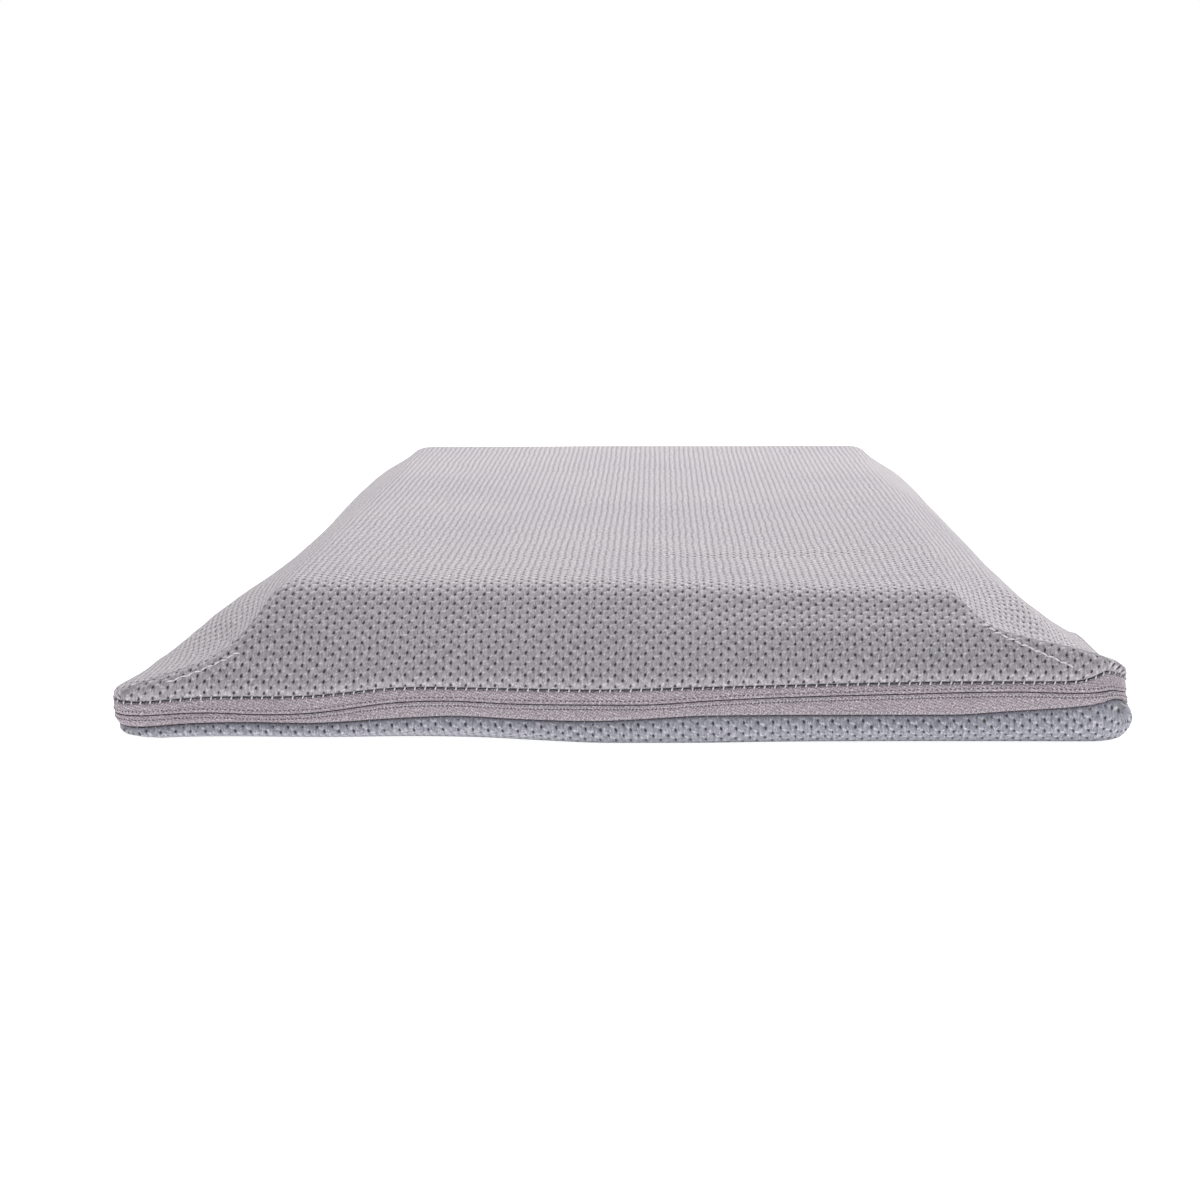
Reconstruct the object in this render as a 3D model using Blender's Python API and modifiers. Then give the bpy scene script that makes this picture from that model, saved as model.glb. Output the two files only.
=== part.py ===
"""Pressure relief pad: a tapered foam cushion in a zipped cover of spacer mesh.

Run in Blender 4.5. Units are metres and +Z is up. The origin is the centre of the underside.
The zip crosses the front, which faces -Y, and turns both front corners onto the long sides. The
slider is parked at the closed end of the zip, on the right side, which faces +X.
"""

import math

import bmesh
import bpy
from mathutils import Vector
from mathutils.bvhtree import BVHTree

# Driving dimensions of the pad
WIDTH = 0.400
LENGTH = 0.600
HEIGHT = 0.062
CORNER_RADIUS = 0.018
SIDE_RUN = 0.070
END_RUN = 0.028
EDGE_ROUND = 0.040
FABRIC = 0.0025
GAP = 0.0003

# The upright band round the foot, from the underside upwards
LOWER_SEAM_Z = 0.0080
ZIP_Z = 0.0140
UPPER_SEAM_Z = 0.0200
KINK_Z = 0.0225
UNDER_ROUND = 0.006
INNER_ROUND = 0.004

# Zip
ZIP_END_Y = -0.180
TAPE = 0.0006
SLOT = 0.0012
SEAM_DEPTH = 0.0035
COIL_RADIUS = 0.00065
COIL_OFFSET = 0.00135
STOP_LENGTH = 0.0020
STOP_HEIGHT = 0.0022
STOP_WALL = 0.0005
STOP_SPLIT = 0.00005
STOP_MARGIN = 0.0005
TAB_MARGIN = 0.001
TAB_LENGTH = 0.016
TAB_HEIGHT = 0.010
TAB_THICKNESS = 0.0008

# Slider and pull
SLIDER_Y = -0.1885
SLIDER_LENGTH = 0.0090
SLIDER_MOUTH = 0.0076
SLIDER_TAIL = 0.0064
PLATE_BEVEL = 0.0008
PLATE_TIP_SHARE = 0.7
NECK_START = 0.0005
NECK_END = 0.0025
OUTER_PLATE = 0.0010
INNER_PLATE = 0.0009
INNER_PLATE_DEPTH = 0.0025
FLANGE = 0.0006
FLANGE_INSET = 0.0009
POST_THICKNESS = 0.0006
POST_LENGTH = 0.0024
POST_INSET = 0.0006
PIN_RADIUS = 0.0005
BRIDGE_WIDTH = 0.0024
BRIDGE_REACH = 0.0032
BRIDGE_LEG = 0.0010
BRIDGE_TOP = 0.0009
PULL_LENGTH = 0.0220
PULL_WIDTH = 0.0066
PULL_EYE = 0.0045
PULL_ARM = 0.0014
PULL_TIP = 0.0016
PULL_TIP_SHARE = 0.6
PULL_NECK = 0.004
PULL_NECK_SHARE = 0.85

# Foam and liner
LINER_DEPTH = 0.0040
LINER = 0.0008
LINER_SEAM_Z = 0.0188
FOAM_SPLIT_Z = 0.0300

# Thread
THREAD_RADIUS = 0.00025
UPPER_STITCH_Z = 0.0213
LOWER_STITCH_Z = 0.0063
DART_SHARE = 0.55
DART_INSET = 0.0015
DART_STEPS = 8

ARC_STEPS = 6
ROUND_STEPS = 6
UNDER_STEPS = 4
PARTS = "pressure_relief_pad"
GUIDES = "guides"


def clear_scene():
    for old in list(bpy.data.objects):
        bpy.data.objects.remove(old, do_unlink=True)


def collection(name):
    made = bpy.data.collections.new(name)
    bpy.context.scene.collection.children.link(made)
    return made


def principled(name, colour, roughness, metallic=0.0):
    material = bpy.data.materials.new(name)
    material.use_nodes = True
    shader = material.node_tree.nodes["Principled BSDF"]
    shader.inputs["Base Color"].default_value = (*colour, 1.0)
    shader.inputs["Roughness"].default_value = roughness
    shader.inputs["Metallic"].default_value = metallic
    return material


def add_part(name, data, material):
    """Put a mesh or a curve in the parts collection under its own name."""
    data.materials.append(material)
    part = bpy.data.objects.new(name, data)
    bpy.data.collections[PARTS].objects.link(part)
    return part


def mesh_part(name, shape, material, sharp_angle=35):
    mesh = bpy.data.meshes.new(name)
    shape.to_mesh(mesh)
    shape.free()
    mesh.shade_smooth()
    mesh.set_sharp_from_angle(angle=math.radians(sharp_angle))
    return add_part(name, mesh, material)


def fill_spline(curve, points, closed):
    spline = curve.splines.new("POLY")
    spline.points.add(len(points) - 1)
    for control, place in zip(spline.points, points):
        control.co = (*place, 1.0)
    spline.use_cyclic_u = closed


# ---------------------------------------------------------------- solid shapes


def box_shape(low, high):
    shape = bmesh.new()
    bmesh.ops.create_cube(shape, size=1.0)
    low = Vector(low)
    high = Vector(high)
    bmesh.ops.scale(shape, vec=high - low, verts=shape.verts)
    bmesh.ops.translate(shape, vec=(low + high) / 2, verts=shape.verts)
    return shape


def outline(depth, inset_x=0.0, inset_y=0.0):
    """The pad's plan outline, anticlockwise, set in by depth and then by an inset per direction."""
    points = []
    for side, end, start in ((-1, -1, 180), (1, -1, 270), (1, 1, 0), (-1, 1, 90)):
        for x, y in corner_arc(depth, side, end, start):
            points.append((x - side * inset_x, y - end * inset_y))
    return points


def loft(depth, levels, floor=True, roof=True):
    """Bridge the outline from level to level, each (inset in X, inset in Y, height)."""
    shape = bmesh.new()
    loops = []
    for inset_x, inset_y, height in levels:
        verts = [shape.verts.new((x, y, height)) for x, y in outline(depth, inset_x, inset_y)]
        pairs = zip(verts, verts[1:] + verts[:1])
        loops.append([shape.edges.new(pair) for pair in pairs])
    for lower, upper in zip(loops, loops[1:]):
        bmesh.ops.bridge_loops(shape, edges=lower + upper)
    caps = []
    for wanted, rim in ((floor, loops[0]), (roof, loops[-1])):
        cap = bmesh.ops.contextual_create(shape, geom=rim)["faces"]
        caps += [] if wanted else cap
    bmesh.ops.recalc_face_normals(shape, faces=shape.faces)
    bmesh.ops.delete(shape, geom=caps, context="FACES_ONLY")
    return shape


def taper(depth):
    """The tapered form set in by depth: its kink height, and its slope in each direction."""
    top = HEIGHT - depth
    rise = HEIGHT - KINK_Z
    tangents = [rise / run for run in (SIDE_RUN, END_RUN)]
    kink = min(KINK_Z - depth * (math.hypot(1.0, t) - t) for t in tangents)
    runs = [(rise + depth * (math.hypot(1.0, t) - 1.0)) / t - depth for t in tangents]
    return top, kink, runs


def inset_at(height, top, kink, run):
    """How far the slope has come in at a height, with its edge at the plateau rounded."""
    if height <= kink:
        return 0.0
    angle = math.atan2(top - kink, run)
    if height <= top - EDGE_ROUND * (1.0 - math.cos(angle)):
        return (height - kink) * run / (top - kink)
    turned = math.acos(1.0 - (top - height) / EDGE_ROUND)
    return run + EDGE_ROUND * (math.tan(angle / 2) - math.sin(turned))


def tapered_levels(depth, low, high=HEIGHT):
    """Levels of the tapered form from low up to high, or up to its plateau."""
    top, kink, runs = taper(depth)
    steepest = math.atan2(top - kink, min(runs))
    heights = [low, kink]
    for step in range(ROUND_STEPS, -1, -1):
        heights.append(top - EDGE_ROUND * (1.0 - math.cos(steepest * step / ROUND_STEPS)))
    heights = [height for height in heights if low <= height < min(high, top)] + [min(high, top)]
    return [(*(inset_at(height, top, kink, run) for run in runs), height) for height in heights]


def tray_levels(low, high, under_round):
    """Levels of an upright wall with a rounded lower edge."""
    levels = []
    for step in range(UNDER_STEPS + 1):
        angle = math.radians(90 * step / UNDER_STEPS)
        inset = under_round * (1.0 - math.sin(angle))
        levels.append((inset, inset, low + under_round * (1.0 - math.cos(angle))))
    return levels + [(0.0, 0.0, high)]


def thicken(part, thickness):
    """Give an open skin its thickness, inwards."""
    solid = part.modifiers.new("thickness", "SOLIDIFY")
    solid.thickness = thickness
    solid.offset = -1.0
    solid.use_even_offset = True


# ---------------------------------------------------------------- perimeter sweeps


def arc(centre, radius, start, steps=ARC_STEPS):
    """A quarter circle, anticlockwise from start degrees."""
    angles = [math.radians(start + 90 * step / steps) for step in range(steps + 1)]
    return [(centre[0] + radius * math.cos(a), centre[1] + radius * math.sin(a)) for a in angles]


def corner_arc(depth, side, end, start):
    """The corner at side (-1 or 1 in X) and end (-1 or 1 in Y), set in by depth."""
    centre = (side * (WIDTH / 2 - CORNER_RADIUS), end * (LENGTH / 2 - CORNER_RADIUS))
    return arc(centre, CORNER_RADIUS - depth, start)


def zip_route(depth):
    """Anticlockwise from the zip's left end, across the front, to its right end."""
    side = WIDTH / 2 - depth
    ends = [(-side, ZIP_END_Y)], [(side, ZIP_END_Y)]
    return ends[0] + corner_arc(depth, -1, -1, 180) + corner_arc(depth, 1, -1, 270) + ends[1]


def gusset_route():
    """Anticlockwise from the zip's right end, across the back, to its left end."""
    start_y = ZIP_END_Y + GAP
    ends = [(WIDTH / 2, start_y)], [(-WIDTH / 2, start_y)]
    return ends[0] + corner_arc(0.0, 1, 1, 0) + corner_arc(0.0, -1, 1, 90) + ends[1]


def sweep_part(name, route, section, material):
    """Sweep a closed section, given as (depth inwards, height) pairs, along a level route."""
    guide_curve = bpy.data.curves.new(name + "_section", "CURVE")
    guide_curve.dimensions = "2D"
    guide_curve.fill_mode = "NONE"
    corners = [(-depth, height, 0.0) for depth, height in reversed(section)]
    fill_spline(guide_curve, corners, True)
    guide = bpy.data.objects.new(name + "_section", guide_curve)
    guide.hide_render = True
    guide.display_type = "WIRE"
    bpy.data.collections[GUIDES].objects.link(guide)
    curve = bpy.data.curves.new(name, "CURVE")
    curve.dimensions = "2D"
    curve.fill_mode = "NONE"
    curve.bevel_mode = "OBJECT"
    curve.bevel_object = guide
    curve.use_fill_caps = True
    fill_spline(curve, [(x, y, 0.0) for x, y in route], False)
    return add_part(name, curve, material)


def tube_part(name, points, radius, closed, material):
    curve = bpy.data.curves.new(name, "CURVE")
    curve.dimensions = "3D"
    curve.bevel_depth = radius
    curve.bevel_resolution = 2
    curve.use_fill_caps = True
    fill_spline(curve, points, closed)
    return add_part(name, curve, material)


def outline_part(name, corners, thickness, material):
    """A flat outline in XY, extruded to its thickness about z = 0."""
    curve = bpy.data.curves.new(name, "CURVE")
    curve.dimensions = "2D"
    curve.fill_mode = "BOTH"
    curve.extrude = thickness / 2
    fill_spline(curve, [(x, y, 0.0) for x, y in corners], True)
    return add_part(name, curve, material)


# ---------------------------------------------------------------- covers, gusset, liner, foam


def make_covers(mesh_fabric, gusset_fabric):
    upper = loft(0.0, tapered_levels(0.0, UPPER_SEAM_Z + GAP / 2), floor=False)
    thicken(mesh_part("top_cover", upper, mesh_fabric), FABRIC)
    lower = loft(0.0, tray_levels(0.0, LOWER_SEAM_Z - GAP / 2, UNDER_ROUND), roof=False)
    thicken(mesh_part("bottom_cover", lower, mesh_fabric), FABRIC)
    top = UPPER_SEAM_Z - GAP / 2
    foot = LOWER_SEAM_Z + GAP / 2
    wall = 2 * TAPE
    channel = [
        (0.0, foot),
        (0.0, top),
        (SEAM_DEPTH, top),
        (SEAM_DEPTH, top - wall),
        (wall, top - wall),
        (wall, foot + wall),
        (SEAM_DEPTH, foot + wall),
        (SEAM_DEPTH, foot),
    ]
    sweep_part("rear_gusset", gusset_route(), channel, gusset_fabric)


def make_core(liner_knit, soft_foam, firm_foam):
    cap = loft(LINER_DEPTH, tapered_levels(LINER_DEPTH, LINER_SEAM_Z), floor=False)
    thicken(mesh_part("liner_top", cap, liner_knit), LINER)
    liner_floor = FABRIC + GAP
    sack = tray_levels(liner_floor, LINER_SEAM_Z - GAP, INNER_ROUND)
    thicken(mesh_part("liner_bottom", loft(LINER_DEPTH, sack, roof=False), liner_knit), LINER)
    depth = LINER_DEPTH + LINER + GAP
    floor = liner_floor + LINER + GAP
    soft = tapered_levels(depth, FOAM_SPLIT_Z + GAP / 2)
    mesh_part("memory_foam_layer", loft(depth, soft), soft_foam)
    foot = tray_levels(floor, floor + INNER_ROUND, INNER_ROUND)[:-1]
    firm = foot + tapered_levels(depth, floor + 2 * INNER_ROUND, FOAM_SPLIT_Z - GAP / 2)
    mesh_part("support_foam_base", loft(depth, firm), firm_foam)


# ---------------------------------------------------------------- zip


def make_tapes(tape_weave):
    top = UPPER_SEAM_Z - GAP / 2
    foot = LOWER_SEAM_Z + GAP / 2
    upper_edge = ZIP_Z + SLOT / 2
    lower_edge = ZIP_Z - SLOT / 2
    upper = [
        (0.0, upper_edge),
        (0.0, top),
        (SEAM_DEPTH, top),
        (SEAM_DEPTH, top - TAPE),
        (TAPE, top - TAPE),
        (TAPE, upper_edge),
    ]
    lower = [
        (0.0, foot),
        (0.0, lower_edge),
        (TAPE, lower_edge),
        (TAPE, foot + TAPE),
        (SEAM_DEPTH, foot + TAPE),
        (SEAM_DEPTH, foot),
    ]
    sweep_part("zip_tape_upper", zip_route(0.0), upper, tape_weave)
    sweep_part("zip_tape_lower", zip_route(0.0), lower, tape_weave)


def make_coils(nylon):
    depth = TAPE + GAP + COIL_RADIUS
    for name, side in (("zip_coil_upper", 1), ("zip_coil_lower", -1)):
        height = ZIP_Z + side * COIL_OFFSET
        points = [(x, y, height) for x, y in zip_route(depth)]
        tube_part(name, points, COIL_RADIUS, False, nylon)


def stop_section(side):
    """A clip round one tape edge and its coil: two legs and a web that runs through the slot."""
    outer = -GAP - STOP_WALL
    inner = INNER_PLATE_DEPTH + STOP_WALL
    near = side * STOP_SPLIT
    web = side * SLOT / 4
    far = side * STOP_HEIGHT
    return [
        (outer, near),
        (outer, far),
        (outer + STOP_WALL, far),
        (outer + STOP_WALL, web),
        (INNER_PLATE_DEPTH, web),
        (INNER_PLATE_DEPTH, far),
        (inner, far),
        (inner, near),
    ]


def both_rows_section():
    upper = stop_section(1)
    lower = stop_section(-1)
    return upper[1:7] + lower[6:0:-1]


def place_on_side(part, side, y, height):
    """Stand a flat outline on the side wall: its X runs inwards, its Y up and its Z along the zip."""
    part.location = (side * WIDTH / 2, y, height)
    part.rotation_euler = (math.pi / 2, 0.0, 0.0)


def make_stops(metal):
    stop_y = ZIP_END_Y - STOP_MARGIN - STOP_LENGTH
    for name, side in (("zip_top_stop_upper", 1), ("zip_top_stop_lower", -1)):
        corners = [(-depth, height) for depth, height in stop_section(side)]
        clip = outline_part(name, corners, STOP_LENGTH, metal)
        place_on_side(clip, 1, stop_y, ZIP_Z)
    clip = outline_part("zip_bottom_stop", both_rows_section(), STOP_LENGTH, metal)
    place_on_side(clip, -1, stop_y, ZIP_Z)


def make_end_tabs(fabric):
    """Fabric tabs sewn over the ends of the zip, on the outside of the band."""
    low_y = ZIP_END_Y - TAB_MARGIN
    for name, side in (("zip_end_tab_right", 1), ("zip_end_tab_left", -1)):
        near = side * (WIDTH / 2 + GAP)
        far = side * (WIDTH / 2 + GAP + TAB_THICKNESS)
        low = (min(near, far), low_y, ZIP_Z - TAB_HEIGHT / 2)
        high = (max(near, far), low_y + TAB_LENGTH, ZIP_Z + TAB_HEIGHT / 2)
        tab = mesh_part(name, box_shape(low, high), fabric)
        rounding = tab.modifiers.new("soft_edges", "BEVEL")
        rounding.width = TAB_THICKNESS / 3
        rounding.segments = 2


def plate_outline():
    """The slider's plate in (along the zip, up): a wide round mouth at +Y and a narrower tail."""
    tail = -SLIDER_LENGTH / 2
    mouth = SLIDER_LENGTH / 2
    narrow = SLIDER_TAIL / 2
    wide = SLIDER_MOUTH / 2
    right = [
        (tail, narrow * PLATE_TIP_SHARE),
        (tail + PLATE_BEVEL, narrow),
        (NECK_START, narrow),
        (NECK_END, wide),
        (mouth - PLATE_BEVEL, wide),
        (mouth, wide * PLATE_TIP_SHARE),
    ]
    return right + [(along, -up) for along, up in reversed(right)]


def slider_block(low, high):
    """A box of the slider, given as depth inwards, along the zip and up from its centre."""
    near = (WIDTH / 2 - high[0], SLIDER_Y + low[1], ZIP_Z + low[2])
    far = (WIDTH / 2 - low[0], SLIDER_Y + high[1], ZIP_Z + high[2])
    return box_shape(near, far)


def slider_plate(near, far):
    """A plate between two depths inwards, in the plate outline."""
    shape = bmesh.new()
    x = WIDTH / 2 - far
    verts = [shape.verts.new((x, SLIDER_Y + along, ZIP_Z + up)) for along, up in plate_outline()]
    floor = shape.faces.new(verts)
    grown = bmesh.ops.extrude_face_region(shape, geom=[floor], use_keep_orig=True)["geom"]
    moved = [item for item in grown if isinstance(item, bmesh.types.BMVert)]
    bmesh.ops.translate(shape, vec=(far - near, 0.0, 0.0), verts=moved)
    bmesh.ops.recalc_face_normals(shape, faces=shape.faces)
    return shape


def make_slider(metal):
    inner_near = INNER_PLATE_DEPTH
    inner_far = INNER_PLATE_DEPTH + INNER_PLATE
    outer_near = -GAP - OUTER_PLATE
    mouth = SLIDER_LENGTH / 2
    blocks = [slider_plate(inner_near, inner_far)]
    post_end = mouth - POST_INSET
    post_low = (outer_near + OUTER_PLATE / 2, post_end - POST_LENGTH, -POST_THICKNESS / 2)
    post_high = (inner_near + INNER_PLATE / 2, post_end, POST_THICKNESS / 2)
    blocks.append(slider_block(post_low, post_high))
    flange_top = SLIDER_TAIL / 2
    for side in (-1, 1):
        edges = sorted((side * (flange_top - FLANGE), side * flange_top))
        low = (TAPE + 2 * GAP, -mouth + FLANGE_INSET, edges[0])
        high = (inner_near + INNER_PLATE / 2, mouth - FLANGE_INSET, edges[1])
        blocks.append(slider_block(low, high))
    for side in (-1, 1):
        ends = sorted((side * (BRIDGE_REACH - BRIDGE_LEG), side * BRIDGE_REACH))
        low = (bridge_depth(), ends[0], -BRIDGE_WIDTH / 2)
        high = (outer_near + OUTER_PLATE / 2, ends[1], BRIDGE_WIDTH / 2)
        blocks.append(slider_block(low, high))
    low = (bridge_depth(), -BRIDGE_REACH, -BRIDGE_WIDTH / 2)
    high = (bridge_depth() + BRIDGE_TOP, BRIDGE_REACH, BRIDGE_WIDTH / 2)
    blocks.append(slider_block(low, high))
    slider = mesh_part("zip_slider", slider_plate(outer_near, outer_near + OUTER_PLATE), metal)
    for index, block in enumerate(blocks):
        join_block(slider, block, f"slider_block_{index}")


def join_block(part, shape, name):
    """Union a hidden helper block into a part."""
    mesh = bpy.data.meshes.new(name)
    shape.to_mesh(mesh)
    shape.free()
    helper = bpy.data.objects.new(name, mesh)
    helper.hide_render = True
    helper.display_type = "WIRE"
    bpy.data.collections[GUIDES].objects.link(helper)
    union = part.modifiers.new(name, "BOOLEAN")
    union.operation = "UNION"
    union.solver = "EXACT"
    union.object = helper


def pin_depth():
    """Depth of the pull's pin axis: just outside the slider's outer plate."""
    return -GAP - OUTER_PLATE - GAP - PIN_RADIUS


def bridge_depth():
    """Depth of the bridge's outer face, with the pin's clearance under it."""
    return pin_depth() - PIN_RADIUS - GAP - BRIDGE_TOP


def make_pull(metal):
    """A flat tab that lies along -Y, with an eye whose cross bar passes under the bridge."""
    half = PULL_WIDTH / 2
    thickness = 2 * PIN_RADIUS
    neck = half * PULL_NECK_SHARE
    tab = [
        (-PULL_LENGTH, -half * PULL_TIP_SHARE),
        (-PULL_LENGTH + PULL_TIP, -half),
        (-PULL_EYE - PULL_NECK, -half),
        (-PULL_EYE, -neck),
        (PIN_RADIUS, -neck),
    ]
    corners = tab + [(along, -up) for along, up in reversed(tab)]
    hinge = bpy.data.objects.new("pull_hinge", None)
    hinge.location = (WIDTH / 2 - pin_depth(), SLIDER_Y, ZIP_Z)
    bpy.data.collections[PARTS].objects.link(hinge)
    shape = bmesh.new()
    verts = [shape.verts.new((-thickness / 2, along, up)) for along, up in corners]
    floor = shape.faces.new(verts)
    grown = bmesh.ops.extrude_face_region(shape, geom=[floor], use_keep_orig=True)["geom"]
    moved = [item for item in grown if isinstance(item, bmesh.types.BMVert)]
    bmesh.ops.translate(shape, vec=(thickness, 0.0, 0.0), verts=moved)
    bmesh.ops.recalc_face_normals(shape, faces=shape.faces)
    pull = mesh_part("zip_pull", shape, metal)
    pull.parent = hinge
    eye_half = neck - PULL_ARM
    low = (-thickness, -PULL_EYE, -eye_half)
    high = (thickness, -PIN_RADIUS, eye_half)
    eye = bpy.data.meshes.new("pull_eye")
    window = box_shape(low, high)
    window.to_mesh(eye)
    window.free()
    cutter = bpy.data.objects.new("pull_eye", eye)
    cutter.hide_render = True
    cutter.display_type = "WIRE"
    cutter.parent = hinge
    bpy.data.collections[GUIDES].objects.link(cutter)
    cut = pull.modifiers.new("eye", "BOOLEAN")
    cut.operation = "DIFFERENCE"
    cut.solver = "EXACT"
    cut.object = cutter


# ---------------------------------------------------------------- thread


def make_seam_threads(thread):
    depth = -GAP - THREAD_RADIUS
    for name, height in (("upper_seam_thread", UPPER_STITCH_Z), ("lower_seam_thread", LOWER_STITCH_Z)):
        points = [(x, y, height) for x, y in outline(depth)]
        tube_part(name, points, THREAD_RADIUS, True, thread)


def make_corner_seams(thread):
    """The sewn dart at each corner: a thread that climbs the hip on the cover's surface."""
    surface = loft(0.0, tapered_levels(0.0, UPPER_SEAM_Z))
    tree = BVHTree.FromBMesh(surface)
    surface.free()
    bow = CORNER_RADIUS * (1.0 - math.sqrt(0.5))
    start = Vector((WIDTH / 2 - bow, LENGTH / 2 - bow)) - Vector((DART_INSET, DART_INSET))
    finish = Vector((WIDTH / 2 - bow - SIDE_RUN, LENGTH / 2 - bow - END_RUN))
    for end_name, end in (("front", -1), ("rear", 1)):
        for side_name, side in (("left", -1), ("right", 1)):
            points = []
            for step in range(DART_STEPS + 1):
                plan = start.lerp(finish, DART_SHARE * step / DART_STEPS)
                above = Vector((side * plan.x, end * plan.y, 2 * HEIGHT))
                place, normal, _, _ = tree.ray_cast(above, Vector((0.0, 0.0, -1.0)))
                points.append(tuple(place + normal * (2 * GAP + THREAD_RADIUS)))
            tube_part(f"corner_seam_{end_name}_{side_name}", points, THREAD_RADIUS, False, thread)


def main():
    clear_scene()
    collection(PARTS)
    collection(GUIDES)
    mesh_fabric = principled("cover_mesh", (0.45, 0.43, 0.45), 0.85)
    gusset_fabric = principled("gusset_fabric", (0.40, 0.38, 0.41), 0.85)
    tape_weave = principled("zip_tape", (0.38, 0.33, 0.36), 0.75)
    nylon = principled("zip_coil", (0.30, 0.27, 0.30), 0.45)
    metal = principled("slider_metal", (0.42, 0.42, 0.44), 0.35, 0.9)
    thread = principled("stitch_thread", (0.55, 0.52, 0.55), 0.6)
    liner_knit = principled("liner_knit", (0.80, 0.80, 0.78), 0.9)
    soft_foam = principled("memory_foam", (0.85, 0.80, 0.66), 0.95)
    firm_foam = principled("support_foam", (0.70, 0.74, 0.78), 0.95)
    make_covers(mesh_fabric, gusset_fabric)
    make_core(liner_knit, soft_foam, firm_foam)
    make_tapes(tape_weave)
    make_coils(nylon)
    make_stops(metal)
    make_end_tabs(gusset_fabric)
    make_slider(metal)
    make_pull(metal)
    make_seam_threads(thread)
    make_corner_seams(thread)


main()
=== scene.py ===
"""Pressure relief pad: a low foam pad in a zipped spacer-mesh cover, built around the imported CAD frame.

X runs across the pad, Y along it from the zipped front end, and Z up from the surface it rests on, in metres.
"""

import math

import bmesh
import bpy
import numpy as np
from mathutils import Matrix, Vector, noise
from mathutils.bvhtree import BVHTree


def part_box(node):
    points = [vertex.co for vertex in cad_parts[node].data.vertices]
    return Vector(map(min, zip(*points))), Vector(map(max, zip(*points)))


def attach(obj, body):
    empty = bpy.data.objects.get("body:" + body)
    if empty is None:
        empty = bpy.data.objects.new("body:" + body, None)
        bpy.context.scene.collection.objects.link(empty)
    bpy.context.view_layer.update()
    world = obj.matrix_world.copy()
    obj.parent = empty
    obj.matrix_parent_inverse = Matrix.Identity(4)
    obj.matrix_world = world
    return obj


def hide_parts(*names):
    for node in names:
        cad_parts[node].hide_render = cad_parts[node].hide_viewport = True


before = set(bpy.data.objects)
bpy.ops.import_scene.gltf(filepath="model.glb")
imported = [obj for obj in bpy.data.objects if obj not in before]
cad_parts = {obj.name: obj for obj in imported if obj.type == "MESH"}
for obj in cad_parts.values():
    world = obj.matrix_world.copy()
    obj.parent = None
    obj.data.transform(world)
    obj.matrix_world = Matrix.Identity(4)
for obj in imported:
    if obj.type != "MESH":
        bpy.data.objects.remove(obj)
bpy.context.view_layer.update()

# ---------------------------------------------------------------- sizes

MM = 0.001
FRONT_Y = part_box("zip_tape_upper")[0].y
HALF_WIDTH = -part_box("zip_tape_upper")[0].x
HALF_LENGTH = -FRONT_Y
SEAM_GAP = 0.15 * MM
SEAM_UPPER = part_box("zip_tape_upper")[1].z + SEAM_GAP
SEAM_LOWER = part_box("zip_tape_lower")[0].z - SEAM_GAP
ZIP_Z = (SEAM_UPPER + SEAM_LOWER) / 2
ZIP_END_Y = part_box("zip_tape_upper")[1].y
CORNER = 18 * MM
FABRIC = 2.2 * MM
LOWER_FABRIC = 0.8 * FABRIC

FRONT_STEPS = 116
SIDE_STEPS = 156
ARC_STEPS = 5
COUNT = 2 * (FRONT_STEPS + SIDE_STEPS)

# Heights of the two seams and of the zip's line, in millimetres, along the route round the pad. The route value is x
# on the front end, and grows by the distance along each side, then along the rear end, to 1 at the rear's middle.
UPPER_SEAM = (
    (-1.0, 7.5), (-0.8, 6.8), (-0.6, 7.0), (-0.5, 8.2), (-0.42, 10.5), (-0.34, 13.6), (-0.27, 16.2),
    (-0.22, 16.8), (-0.199, 16.2), (-0.165, 19.0), (-0.126, 19.4), (-0.087, 22.9), (-0.048, 22.5),
    (-0.009, 21.9), (0.03, 22.9), (0.108, 24.8), (0.139, 25.2), (0.178, 25.2), (0.190, 27.6), (0.198, 29.8),
    (0.208, 27.4), (0.222, 21.6), (0.23, 20.0), (0.325, 20.0), (0.36, 14.5), (0.43, 9.0), (0.5, 7.2),
    (0.65, 6.6), (0.8, 6.8), (1.0, 7.5),
)
ZIP_LINE = (
    (-0.42, 7.4), (-0.34, 9.2), (-0.27, 11.0), (-0.22, 11.5), (-0.199, 11.1), (-0.165, 13.1), (-0.142, 12.3),
    (-0.126, 12.7), (-0.087, 17.4), (-0.067, 17.8), (-0.048, 16.8), (-0.009, 16.2), (0.01, 16.2), (0.03, 17.6),
    (0.108, 20.5), (0.159, 21.4), (0.178, 20.9), (0.193, 21.4), (0.200, 22.0), (0.208, 20.0), (0.23, 14.0),
    (0.42, 14.0),
)
LOWER_SEAM = (
    (-1.0, 3.4), (-0.8, 3.0), (-0.6, 3.0), (-0.5, 3.4), (-0.42, 4.2), (-0.34, 5.4), (-0.27, 6.2),
    (-0.22, 6.6), (-0.195, 6.3), (-0.173, 8.3), (-0.145, 8.9), (-0.126, 8.5), (-0.087, 10.7), (-0.067, 11.5),
    (-0.04, 10.1), (-0.009, 9.4), (0.01, 10.3), (0.03, 11.5), (0.108, 11.9), (0.131, 11.9), (0.151, 13.3),
    (0.174, 14.8), (0.182, 15.6), (0.190, 17.2), (0.199, 18.6), (0.209, 15.5), (0.222, 10.0), (0.23, 8.0),
    (0.325, 8.0), (0.36, 6.0), (0.43, 3.6), (0.5, 3.0), (0.8, 3.0), (1.0, 3.4),
)
# How far back the lower edge of the front stands, in millimetres, along x.
LOWER_EDGE_BACK = (
    (-0.20, 8.0), (-0.17, 12.0), (-0.12, 11.0), (-0.08, 12.5), (-0.056, 10.5), (-0.032, 5.0), (-0.01, 0.5),
    (0.03, 0.5), (0.06, 2.5), (0.10, 3.5), (0.19, 3.0), (0.23, 2.5), (0.9, 3.5),
)
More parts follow.
